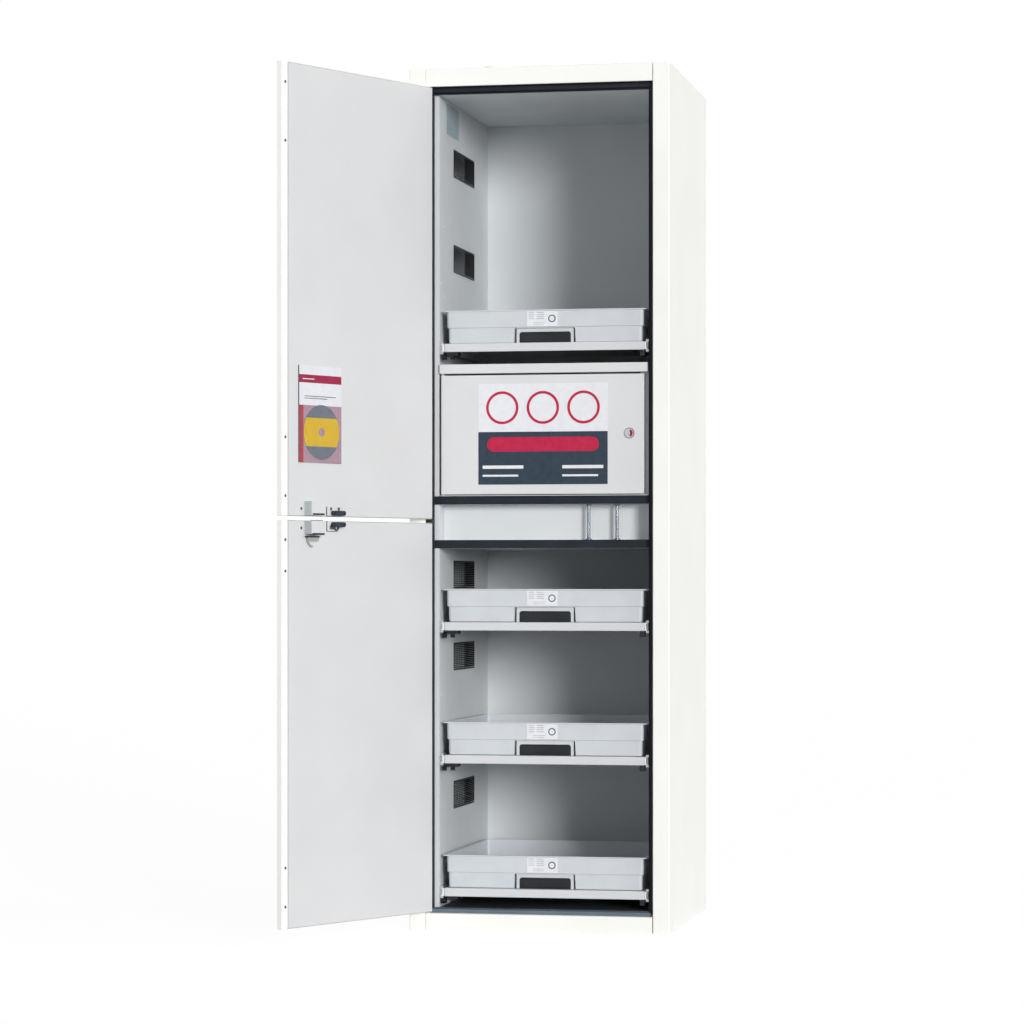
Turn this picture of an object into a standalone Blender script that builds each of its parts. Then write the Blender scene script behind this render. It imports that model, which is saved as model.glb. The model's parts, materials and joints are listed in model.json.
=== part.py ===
# Acid and chemical cabinet: a tall ventilated steel cabinet with two stacked hinged doors,
# four telescopic pull-outs with plastic trays and a lockable inner steel box.
# Metres, +Z up, front towards -Y. The origin is the centre of the cabinet's footprint.

import math

import bmesh
import bpy
from mathutils import Matrix, Vector

# Clearances and cutters
gap = 0.0003
cut_over = 0.004
weld = 0.00001

# Outer body
body_width = 0.600
body_depth = 0.603
body_height = 1.965
skin = 0.0015
post_width = 0.038
post_depth = 0.026
return_depth = 0.030
rail_height = 0.041
plinth_height = 0.0383
slot_width = 0.003
slot_height = 0.018
slot_low = 0.014
slot_front_inset = 0.0465
slot_rear_inset = 0.020

# Inner lining
board = 0.011
left_wall = 0.064
right_wall = 0.048
front_setback = 0.0265
back_wall = 0.0175
ceiling_drop = 0.057
floor_height = 0.050
partition_thickness = 0.019
upper_partition_top = 0.990
bay_height = 0.081
bay_depth = 0.050
bay_board = 0.010

# Door seal and strike rods
seal_left_edge = 0.053
seal_right_edge = 0.0495
seal_clearance = 0.0009
rod_radius = 0.0035
rod_setback = 0.025
rod_insets = (0.145, 0.080)

# Doors
opened = math.radians(116.8)
door_thickness = 0.014
door_skin = 0.0015
door_side_gap = 0.0035
door_top_gap = 0.002
door_bottom_gap = 0.0037
split_offset = 0.00235
middle_gap = 0.0093
pivot_inset = 0.0029
pivot_setback = 0.0034
pin_radius = 0.0016
pin_reach = 0.004
free_flange = 0.0135
hinge_flange = 0.0068
edge_flange = 0.0018
bearing_length = 0.0158
bearing_depth = 0.012
bearing_gap = 0.001

# Pull handles on the door fronts
handle_length = 0.160
handle_reach = 0.032
handle_width = 0.020
handle_strip = 0.005
handle_foot = 0.014
handle_inset = 0.060
handle_lift = 0.030

# Latch parts inside the doors
case_width = 0.0455
case_height = 0.025
case_depth = 0.0214
case_inset = 0.071
case_corner = 0.0012
latch_lift = 0.0075
case_bolt_height = 0.0045
case_bolt_step = 0.002
catch_width = 0.048
catch_height = 0.021
catch_depth = 0.003
catch_inset = 0.147
catch_lift = 0.003
arm_length = 0.052
arm_height = 0.011
arm_depth = 0.005
arm_inset = 0.1535
arm_lift = 0.0023
arm_pin_radius = 0.0025

# Document pocket
pocket_width = 0.146
pocket_height = 0.212
pocket_depth = 0.0025
pocket_inset = 0.049
pocket_lift = 0.117

# Inner steel box with its own door
box_left = 0.0055
box_right = 0.0134
box_height = 0.301
box_back_room = 0.046
box_wall = 0.0015
box_flange = 0.010
box_lip_height = 0.0215
box_lip_depth = 0.019
box_reach = 0.006
box_door_thickness = 0.017
box_door_low = 0.0035
box_door_gap = 0.004
box_door_skin = 0.0012
box_door_rim = 0.012
box_pin_inset = 0.004
lock_radius = 0.011
lock_rim = 0.0025
lock_barrel_radius = 0.009
lock_inset = 0.0336
lock_lift = 0.1407
tongue_length = 0.028
tongue_width = 0.012
tongue_thickness = 0.003
tongue_gap = 0.002

# Ventilation
grille_width = 0.234
grille_height = 0.065
grille_thickness = 0.0025
grille_lap = 0.003
grille_front = 0.156
grille_drops_below_shelves = (0.1337, 0.1147)
grille_drop_below_partition = 0.092
grille_drops_below_ceiling = (0.3915, 0.169)
grille_slot_rows = 6
grille_slot_columns = 3
grille_slot_gap = 0.004
duct_margin = 0.005
duct_wall = 0.0012
plenum_length = 0.200
spigot_inset = 0.0518
spigot_radius = 0.0375
spigot_wall = 0.0015
spigot_height = 0.045
spigot_flange = 0.012
spigot_steps = 32

# Pull-outs
shelf_back_room = 0.062
shelf_setback = 0.003
shelf_lip = 0.0192
shelf_sheet = 0.0015
lowest_shelf_top = 0.0942
lower_shelf_count = 3
lower_shelf_room = 0.1688
upper_shelf_room = 0.0477
runner_space = 0.0127
runner_height = 0.028
runner_back = 0.0015
runner_width = 0.0095
runner_setback = 0.001
slide_gap = 0.0004
middle_wall = 0.003
middle_back = 0.0012
middle_width = 0.0077
slide_bar_width = 0.009

# Trays
tray_side_gap = 0.0013
tray_back_room = 0.024
tray_setback = 0.006
tray_upper = 0.040
tray_lower = 0.0355
tray_step = 0.008
tray_wall = 0.003
tray_corner = 0.016
corner_steps = 4
recess_width = 0.139
recess_depth = 0.022
tray_grip_side_room = 0.010
tray_grip_height = 0.0245
tray_grip_depth = 0.018
tray_grip_wall = 0.003
tray_grip_corner = 0.006

# Places worked out from the sizes above
half_width = body_width / 2
front = -body_depth / 2
rear = body_depth / 2
post_face = half_width - post_width
carcass_front = front + front_setback
back_face = rear - back_wall
left_face = -half_width + left_wall
right_face = half_width - right_wall
inner_middle = (left_face + right_face) / 2
ceiling_height = body_height - ceiling_drop
lining_top = ceiling_height + board
lining_low = skin + gap
rail_low = body_height - rail_height
seal_depth = front_setback - door_thickness - seal_clearance - gap
upper_partition_low = upper_partition_top - partition_thickness
lower_partition_top = upper_partition_low - bay_height
lower_partition_low = lower_partition_top - partition_thickness
door_split = (lower_partition_top + upper_partition_low) / 2 + split_offset
hinge_x = -post_face + door_side_gap + pivot_inset
hinge_y = front + pivot_setback
door_low = plinth_height + door_bottom_gap
door_high = rail_low - door_top_gap
door_width = 2 * (post_face - door_side_gap)
door_free_edge = post_face - door_side_gap
door_inner = front + door_thickness
lower_door_high = door_split - middle_gap / 2
upper_door_low = door_split + middle_gap / 2
duct_front = carcass_front + grille_front - duct_margin
duct_back = carcass_front + grille_front + grille_width + duct_margin
duct_middle = (duct_front + duct_back) / 2
box_left_side = left_face + box_left
box_right_side = right_face - box_right
box_low = upper_partition_top + gap
box_high = box_low + box_height
box_face = carcass_front - box_reach
lower_shelf_span = lower_partition_low - lower_shelf_room - lowest_shelf_top
shelf_pitch = lower_shelf_span / (lower_shelf_count - 1)
shelf_tops = [lowest_shelf_top + level * shelf_pitch for level in range(lower_shelf_count)]
shelf_tops.append(box_high + upper_shelf_room)
shelf_left = left_face + runner_space
shelf_right = right_face - runner_space
shelf_front = carcass_front - shelf_setback
shelf_depth = back_face - shelf_back_room - shelf_front
tray_width = shelf_right - shelf_left - 2 * tray_side_gap
tray_depth = shelf_depth - tray_setback - tray_back_room
tray_grip_width = recess_width - 2 * tray_grip_side_room
grille_lows = [top - drop for top, drop in zip(shelf_tops[1:], grille_drops_below_shelves)]
grille_lows.append(lower_partition_low - grille_drop_below_partition)
grille_lows += [ceiling_height - drop for drop in grille_drops_below_ceiling]
duct_outer = -half_width + skin + gap
plenum_end = duct_outer + plenum_length
spigot_place = plenum_end - spigot_inset
round_share = 0.5

for old in list(bpy.data.objects):
    bpy.data.objects.remove(old)

parts = bpy.data.collections.new("acid_cabinet")
cutters = bpy.data.collections.new("cutters")
bpy.context.scene.collection.children.link(parts)
bpy.context.scene.collection.children.link(cutters)
cutters.hide_render = True


def paint(name, colour, roughness, metallic=0.0):
    """A Principled material of one linear colour."""
    made = bpy.data.materials.new(name)
    made.use_nodes = True
    shader = made.node_tree.nodes["Principled BSDF"]
    shader.inputs["Base Color"].default_value = (*colour, 1.0)
    shader.inputs["Roughness"].default_value = roughness
    shader.inputs["Metallic"].default_value = metallic
    made.diffuse_color = (*colour, 1.0)
    return made


white_steel = paint("white_powder_coated_steel", (0.86, 0.86, 0.83), 0.4)
grey_steel = paint("light_grey_coated_steel", (0.66, 0.68, 0.68), 0.45)
grey_board = paint("light_grey_melamine", (0.52, 0.54, 0.54), 0.5)
dark_seal = paint("anthracite_seal", (0.012, 0.014, 0.02), 0.6)
black_plastic = paint("black_plastic", (0.02, 0.02, 0.022), 0.5)
grey_plastic = paint("light_grey_polypropylene", (0.62, 0.64, 0.66), 0.45)
zinc_steel = paint("zinc_plated_steel", (0.6, 0.61, 0.62), 0.35, 1.0)
chrome = paint("bright_chrome", (0.8, 0.8, 0.8), 0.1, 1.0)
card = paint("document_card", (0.8, 0.78, 0.78), 0.6)


def add_object(name, data, material, at=(0, 0, 0), parent=None, group=None):
    """Puts mesh or curve data into the scene at a place in its parent's frame."""
    made = bpy.data.objects.new(name, data)
    made.location = at
    made.parent = parent
    if material:
        data.materials.append(material)
    (group or parts).objects.link(made)
    return made


def add_pivot(name, at, turn_about_z=0.0, parent=None):
    """An empty on a joint's axis, which carries the pieces that move with it."""
    made = bpy.data.objects.new(name, None)
    made.location = at
    made.rotation_euler = (0, 0, turn_about_z)
    made.parent = parent
    parts.objects.link(made)
    return made


def box_data(name, size, corner=0.0, steps=1, upright_only=False):
    """A box of this size about its centre, with rounded edges where a corner is given."""
    shape = bmesh.new()
    bmesh.ops.create_cube(shape, size=1, matrix=Matrix.Diagonal((*size, 1)))
    if corner:
        edges = [
            edge
            for edge in shape.edges
            if not upright_only or edge.verts[0].co.xy == edge.verts[1].co.xy
        ]
        bmesh.ops.bevel(
            shape, geom=edges, offset=corner, segments=steps, profile=round_share, affect="EDGES"
        )
    data = bpy.data.meshes.new(name)
    shape.to_mesh(data)
    shape.free()
    return data


def add_box(name, low, high, material, parent=None, group=None, **rounding):
    """A box from its lowest to its highest corner, with its origin at its middle."""
    low, high = Vector(low), Vector(high)
    data = box_data(name, high - low, **rounding)
    return add_object(name, data, material, (low + high) / 2, parent, group)


def add_rod(name, start, radius, length, material, along="Z", steps=20, parent=None, group=None):
    """A round bar that runs from start along X, Y or Z, with its origin at its middle."""
    shape = bmesh.new()
    bmesh.ops.create_cone(
        shape, cap_ends=True, segments=steps, radius1=radius, radius2=radius, depth=length
    )
    turn = {
        "X": Matrix.Rotation(math.pi / 2, 4, "Y"),
        "Y": Matrix.Rotation(-math.pi / 2, 4, "X"),
        "Z": Matrix.Identity(4),
    }[along]
    bmesh.ops.transform(shape, matrix=turn, verts=shape.verts)
    data = bpy.data.meshes.new(name)
    shape.to_mesh(data)
    shape.free()
    data.shade_smooth()
    data.set_sharp_from_angle(angle=math.radians(40))
    middle = Vector(start) + turn @ Vector((0, 0, length / 2))
    return add_object(name, data, material, middle, parent, group)


def as_mesh(source):
    """Turns a curve object into a mesh object of the same name, with its caps welded."""
    name, group, parent = source.name, source.users_collection[0], source.parent
    bpy.context.view_layer.update()
    graph = bpy.context.evaluated_depsgraph_get()
    data = bpy.data.meshes.new_from_object(source.evaluated_get(graph))
    place = source.matrix_basis.copy()
    shape = bmesh.new()
    shape.from_mesh(data)
    bmesh.ops.remove_doubles(shape, verts=shape.verts, dist=weld)
    shape.to_mesh(data)
    shape.free()
    bpy.data.objects.remove(source)
    made = bpy.data.objects.new(name, data)
    made.parent = parent
    made.matrix_basis = place
    group.objects.link(made)
    return made


def change(target, operation, others):
    """Cuts the others from a mesh object, or joins them to it, with Boolean modifiers."""
    for other in others:
        for group in list(other.users_collection):
            group.objects.unlink(other)
        cutters.objects.link(other)
        other.hide_render = True
        other.display_type = "WIRE"
        modifier = target.modifiers.new(f"{operation.lower()}_{other.name}", "BOOLEAN")
        modifier.operation = operation
        modifier.object = other
    return target


def cut(target, *others):
    return change(target, "DIFFERENCE", others)


def join(target, *others):
    return change(target, "UNION", others)


def rectangle(low_x, low_y, high_x, high_y):
    return [(low_x, low_y), (high_x, low_y), (high_x, high_y), (low_x, high_y)]


def folded(path, thickness):
    """The outline of a folded strip: the path on one side, and its mitred offset on the other."""
    points = [Vector(point) for point in path]
    inner = []
    for index, point in enumerate(points):
        sides = []
        if index:
            sides.append((point - points[index - 1]).normalized())
        if index + 1 < len(points):
            sides.append((points[index + 1] - point).normalized())
        normals = [Vector((-side.y, side.x)) for side in sides]
        middle = sum(normals, Vector((0, 0))).normalized()
        inner.append(point + middle * (thickness / middle.dot(normals[0])))
    return [tuple(point) for point in points + inner[::-1]]


def add_extrusion(name, outline, start, length, material, along="Z", holes=(), parent=None):
    """An outline with its holes, extruded from start along an axis. The outline lies in XY for
    a run along Z, in YZ for a run along X, and in XZ for a run along Y."""
    data = bpy.data.curves.new(name, "CURVE")
    data.dimensions = "2D"
    data.fill_mode = "BOTH"
    data.extrude = length / 2
    for loop in (outline, *holes):
        spline = data.splines.new("POLY")
        spline.points.add(len(loop) - 1)
        spline.use_cyclic_u = True
        for point, place in zip(spline.points, loop):
            point.co = (*place, 0, 1)
    quarter = math.pi / 2
    middle = start + length / 2
    turn, at = {
        "X": ((quarter, 0, quarter), (middle, 0, 0)),
        "Y": ((quarter, 0, 0), (0, middle, 0)),
        "Z": ((0, 0, 0), (0, 0, middle)),
    }[along]
    made = add_object(name, data, material, at, parent)
    made.rotation_euler = turn
    return made


def build_side_panel(name, side):
    """A folded side with its front post and a cap on the post. side is -1 left, 1 right."""
    outer, inner = side * half_width, side * post_face
    path = [(outer, rear), (outer, front), (inner, front), (inner, front + post_depth)]
    outline = folded(path, skin * -side)
    panel = as_mesh(
        add_extrusion(name, outline, 0, body_height, white_steel)
    )
    overlap = skin / 2
    cap = add_box(
        f"{name}_cap",
        (min(outer, inner) + overlap, front + overlap, body_height - skin),
        (max(outer, inner) - overlap, front + post_depth - gap, body_height),
        white_steel,
    )
    join(panel, cap)
    for place in (front + slot_front_inset, rear - slot_rear_inset):
        slot = add_box(
            f"{name}_slot",
            (outer - cut_over, place - slot_width / 2, slot_low),
            (outer + cut_over, place + slot_width / 2, slot_low + slot_height),
            white_steel,
        )
        cut(panel, slot)
    return panel


def build_body():
    build_side_panel("side_panel_left", -1)
    build_side_panel("side_panel_right", 1)
    between_posts = post_face - gap
    between_skins = half_width - skin - gap

    front_fold = [
        (front + return_depth, rail_low),
        (front, rail_low),
        (front, body_height),
        (rear - skin - gap, body_height),
    ]
    roof = as_mesh(
        add_extrusion(
            "roof_panel", folded(front_fold, -skin), -between_posts, 2 * between_posts,
            white_steel, "X",
        )
    )
    wings = add_box(
        "roof_wings",
        (-between_skins, front + post_depth + gap, body_height - skin),
        (between_skins, rear - skin - gap, body_height),
        white_steel,
    )
    spigot_hole = add_rod(
        "roof_spigot_hole",
        (spigot_place, duct_middle, body_height - skin - cut_over),
        spigot_radius + gap, skin + 2 * cut_over, white_steel, steps=spigot_steps,
    )
    top_pin_hole = pin_hole("roof_pin_hole", rail_low)
    cut(join(roof, wings), spigot_hole, top_pin_hole)

    add_box(
        "back_panel",
        (-between_skins, rear - skin, skin + gap),
        (between_skins, rear, body_height),
        white_steel,
    )
    add_box(
        "base_panel",
        (-between_skins, front + post_depth + gap, 0),
        (between_skins, rear, skin),
        grey_steel,
    )
    plinth_fold = [
        (front + return_depth, plinth_height),
        (front, plinth_height),
        (front, 0),
    ]
    plinth = as_mesh(
        add_extrusion(
            "plinth_panel", folded(plinth_fold, skin), -between_posts, 2 * between_posts,
            white_steel, "X",
        )
    )
    cut(plinth, pin_hole("plinth_pin_hole", plinth_height - skin))


def pin_hole(name, low):
    """A cutter for a hinge pin's hole through a sheet whose underside is at this height."""
    return add_rod(
        name, (hinge_x, hinge_y, low - cut_over / 2), pin_radius + gap, skin + cut_over,
        white_steel, steps=16,
    )


def runner_outline(face, side, height, width, back, wall, reach):
    """A C-shaped runner section in XZ, open away from the wall that it stands on."""
    low, high = height - reach, height + reach
    inner = face - side * back
    tip = face - side * width
    return [
        (face, low), (tip, low), (tip, low + wall), (inner, low + wall),
        (inner, high - wall), (tip, high - wall), (tip, high), (face, high),
    ]


def build_side_lining(name, face, side):
    """A lining board with the four fixed runners on it. The left one has its vent openings."""
    outer = face + side * board
    sink = board / 2
    outline = rectangle(carcass_front, plinth_height + gap, back_face - gap, lining_top)
    holes = []
    if side < 0:
        for low in grille_lows:
            start = carcass_front + grille_front
            holes.append(
                rectangle(
                    start + grille_lap, low + grille_lap,
                    start + grille_width - grille_lap, low + grille_height - grille_lap,
                )
            )
    lining = as_mesh(
        add_extrusion(name, outline, min(face, outer), board, grey_board, "X", holes)
    )
    for level, top in enumerate(shelf_tops):
        runner = as_mesh(
            add_extrusion(
                f"{name}_runner_{level + 1}",
                runner_outline(
                    face + side * sink, side, top - shelf_lip / 2, runner_width + sink,
                    runner_back + sink, runner_back, runner_height / 2,
                ),
                carcass_front + runner_setback, shelf_depth, zinc_steel, "Y",
            )
        )
        join(lining, runner)
    return lining


def build_lining():
    build_side_lining("lining_left", left_face, -1)
    build_side_lining("lining_right", right_face, 1)
    add_box(
        "lining_back",
        (left_face - board, back_face, lining_low),
        (right_face + board, rear - skin - gap, lining_top),
        grey_board,
    )
    inside_low = left_face + gap
    inside_high = right_face - gap
    levels = {
        "floor_panel": (plinth_height + gap, floor_height),
        "partition_lower": (lower_partition_low, lower_partition_top),
        "partition_upper": (upper_partition_low, upper_partition_top),
        "ceiling_panel": (ceiling_height, lining_top),
    }
    for name, (low, high) in levels.items():
        add_box(
            name, (inside_low, carcass_front, low), (inside_high, back_face - gap, high),
            grey_board,
        )
    bay_low, bay_high = lower_partition_top + gap, upper_partition_low - gap
    add_box(
        "bay_panel",
        (inside_low, carcass_front + bay_depth, bay_low),
        (inside_high, carcass_front + bay_depth + bay_board, bay_high),
        grey_board,
    )
    for number, inset in enumerate(rod_insets, 1):
        add_rod(
            f"strike_rod_{number}", (right_face - inset, carcass_front + rod_setback, bay_low),
            rod_radius,
            bay_high - bay_low, chrome, steps=16,
        )
    outer = rectangle(-post_face + gap, plinth_height + gap, post_face - gap, rail_low - gap)
    inner = rectangle(
        seal_left_edge - half_width, floor_height, half_width - seal_right_edge, ceiling_height
    )
    seal_start = carcass_front - gap - seal_depth
    add_extrusion("door_seal", outer, seal_start, seal_depth, dark_seal, "Y", [inner])


def build_ventilation():
    start = carcass_front + grille_front
    slot_depth = (grille_height - 2 * grille_lap) / grille_slot_rows - grille_slot_gap
    slot_length = (grille_width - 2 * grille_lap) / grille_slot_columns - grille_slot_gap
    for number, low in enumerate(grille_lows, 1):
        holes = []
        for row in range(grille_slot_rows):
            for column in range(grille_slot_columns):
                left = start + grille_lap + grille_slot_gap / 2
                left += column * (slot_length + grille_slot_gap)
                bottom = low + grille_lap + grille_slot_gap / 2
                bottom += row * (slot_depth + grille_slot_gap)
                holes.append(rectangle(left, bottom, left + slot_length, bottom + slot_depth))
        outline = rectangle(start, low, start + grille_width, low + grille_height)
        add_extrusion(
            f"vent_grille_{number}", outline, left_face + gap, grille_thickness,
            black_plastic, "X", holes,
        )

    duct_inner = left_face - board - gap
    path = [
        (duct_inner, duct_front), (duct_outer, duct_front),
        (duct_outer, duct_back), (duct_inner, duct_back),
    ]
    add_extrusion(
        "air_duct", folded(path, -duct_wall), lining_low, lining_top - lining_low, zinc_steel
    )

    plenum_low, plenum_high = lining_top + gap, body_height - skin - gap
    plenum = add_box(
        "exhaust_plenum", (duct_outer, duct_front, plenum_low),
        (plenum_end, duct_back, plenum_high), zinc_steel,
    )
    wall = Vector((duct_wall, duct_wall, duct_wall))
    hollow = add_box(
        "plenum_hollow", Vector((duct_outer, duct_front, plenum_low)) + wall,
        Vector((plenum_end, duct_back, plenum_high)) - wall, zinc_steel,
    )
    mouth = add_box(
        "plenum_mouth",
        (duct_outer + duct_wall, duct_front + duct_wall, plenum_low - cut_over),
        (duct_inner, duct_back - duct_wall, plenum_low + duct_wall + cut_over),
        zinc_steel,
    )
    top_hole = add_rod(
        "plenum_top_hole", (spigot_place, duct_middle, plenum_high - duct_wall - cut_over),
        spigot_radius + gap, duct_wall + 2 * cut_over, zinc_steel, steps=spigot_steps,
    )
    cut(plenum, hollow, mouth, top_hole)

    flange_low = body_height + gap
    bore = spigot_radius - spigot_wall
    profile = [
        (spigot_radius, body_height + spigot_height),
        (spigot_radius, flange_low + spigot_wall),
        (spigot_radius + spigot_flange, flange_low + spigot_wall),
        (spigot_radius + spigot_flange, flange_low),
        (spigot_radius, flange_low),
        (spigot_radius, plenum_high - duct_wall),
        (bore, plenum_high - duct_wall),
        (bore, body_height + spigot_height),
    ]
    add_turned("exhaust_spigot", profile, (spigot_place, duct_middle, 0), white_steel)


def add_turned(name, profile, at, material, steps=spigot_steps, parent=None):
    """A closed profile of (radius, height) points turned about a vertical axis."""
    data = bpy.data.meshes.new(name)
    count = len(profile)
    data.from_pydata(
        [(radius, 0, height) for radius, height in profile],
        [(index, (index + 1) % count) for index in range(count)],
        [],
    )
    made = add_object(name, data, material, at, parent)
    screw = made.modifiers.new("turn", "SCREW")
    screw.steps = steps
    screw.render_steps = steps
    screw.use_smooth_shade = False
    screw.use_merge_vertices = True
    screw.merge_threshold = weld
    return made


def build_latch(name, pivot, edge, up):
    """The lock case and the link arm on a door's inner face, beside the gap between the doors.
    edge is the height of the door's edge at the gap, and up is the way into the door."""
    face = door_inner - hinge_y + gap
    free_edge = door_free_edge - hinge_x
    case_right = free_edge - case_inset
    case_left = case_right - case_width
    span = sorted((edge + up * latch_lift, edge + up * (latch_lift + case_height)))
    case = add_box(
        f"{name}_lock_case",
        (case_left, face, span[0]), (case_right, face + case_depth, span[1]),
        zinc_steel, pivot, corner=case_corner,
    )
    inside = edge + up * (latch_lift + case_bolt_step)
    span = sorted((inside, edge + up * (latch_lift - case_bolt_height)))
    bolt = add_box(
        f"{name}_case_bolt",
        (case_left + case_bolt_step, face + case_bolt_step, span[0]),
        (case_right - case_bolt_step, face + case_depth - case_bolt_step, span[1]),
        zinc_steel, pivot,
    )
    join(case, bolt)

    height = edge + up * (arm_lift + arm_height / 2)
    turn_x = free_edge - arm_inset - arm_height / 2
    arm_pivot = add_pivot(
        f"{name}_arm_pivot", (turn_x, face + catch_depth - gap, height), parent=pivot
    )
    reach = arm_length - arm_height
    arc = [math.radians(angle) for angle in range(-90, 91, 30)]
    radius = arm_height / 2
    outline = [(radius * math.cos(a), radius * math.sin(a)) for a in arc]
    outline += [(-reach - radius * math.cos(a), -radius * math.sin(a)) for a in arc]
    arm = as_mesh(
        add_extrusion(
            f"{name}_link_arm", outline, gap, arm_depth, black_plastic, "Y", parent=arm_pivot
        )
    )
    head = add_rod(
        f"{name}_arm_head", (0, arm_depth / 2, 0), arm_pin_radius, arm_depth, black_plastic, "Y",
        steps=12, parent=arm_pivot,
    )
    return join(arm, head)


def build_door(name, low, high, edge, up):
    """One door, drawn closed about its hinge axis and carried by a pivot that holds it open.
    edge is the height of its edge at the gap between the doors, and up points into it."""
    pivot = add_pivot(f"{name}_door_pivot", (hinge_x, hinge_y, 0), -opened)
    left = -pivot_inset
    right = left + door_width
    outer = -pivot_setback
    inner = outer + door_thickness
    shell = add_box(
        f"{name}_door_shell", (left, outer, low), (right, inner, high), white_steel, pivot
    )
    liner_low = (left + hinge_flange, outer + door_skin, low + edge_flange)
    liner_high = (right - free_flange, inner, high - edge_flange)
    pocket = add_box(
        f"{name}_door_pocket", liner_low,
        (liner_high[0], inner + cut_over, liner_high[2]), white_steel, pivot,
    )
    cut(shell, pocket)
    for number, (start, length) in enumerate(
        ((high - edge_flange / 2, edge_flange / 2 + pin_reach),
         (low - pin_reach, edge_flange / 2 + pin_reach)), 1
    ):
        join(
            shell,
            add_rod(
                f"{name}_hinge_pin_{number}", (0, 0, start), pin_radius, length, zinc_steel,
                steps=16, parent=pivot,
            ),
        )
    shell_gap = Vector((gap, gap, gap))
    liner = add_box(
        f"{name}_door_liner", Vector(liner_low) + shell_gap,
        (liner_high[0] - gap, inner, liner_high[2] - gap), grey_board, pivot,
    )
    span = sorted((edge + up * catch_lift, edge + up * (catch_lift + catch_height)))
    catch = add_box(
        f"{name}_catch_plate", (right - catch_inset - catch_width, inner - door_skin, span[0]),
        (right - catch_inset, inner + catch_depth, span[1]), zinc_steel, pivot,
    )
    join(liner, catch)
    build_latch(name, pivot, edge, up)
    build_handle(name, pivot, right - handle_inset, edge + up * handle_lift, up, outer)
    return pivot


def build_handle(name, pivot, place, start, up, face):
    """A bow handle on a door's front: a strip bent away from the face between its two feet."""
    foot = face - gap
    reach = foot - handle_reach
    end = start + up * handle_length
    path = [
        (foot, start), (foot, start + up * handle_foot),
        (reach, start + up * (handle_foot + handle_reach / 2)),
        (reach, end - up * (handle_foot + handle_reach / 2)),
        (foot, end - up * handle_foot), (foot, end),
    ]
    add_extrusion(
        f"{name}_door_handle", folded(path, handle_strip * up), place - handle_width / 2,
        handle_width, white_steel, "X", parent=pivot,
    )


def build_doors():
    upper = build_door("upper", upper_door_low, door_high, upper_door_low, 1)
    build_door("lower", door_low, lower_door_high, lower_door_high, -1)

    bearing = add_box(
        "pivot_bearing",
        (-post_face + gap, front, lower_door_high + bearing_gap),
        (-post_face + gap + bearing_length, front + bearing_depth, upper_door_low - bearing_gap),
        black_plastic, corner=pin_radius, steps=2, upright_only=True,
    )
    hole = add_rod(
        "bearing_hole", (hinge_x, hinge_y, lower_door_high), pin_radius + gap, middle_gap,
        black_plastic, steps=16,
    )
    cut(bearing, hole)

    face = door_inner - hinge_y + gap
    pocket_right = door_free_edge - hinge_x - pocket_inset
    pocket_low = upper_door_low + pocket_lift
    add_box(
        "document_pocket",
        (pocket_right - pocket_width, face, pocket_low),
        (pocket_right, face + pocket_depth, pocket_low + pocket_height), card, upper,
    )


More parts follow.
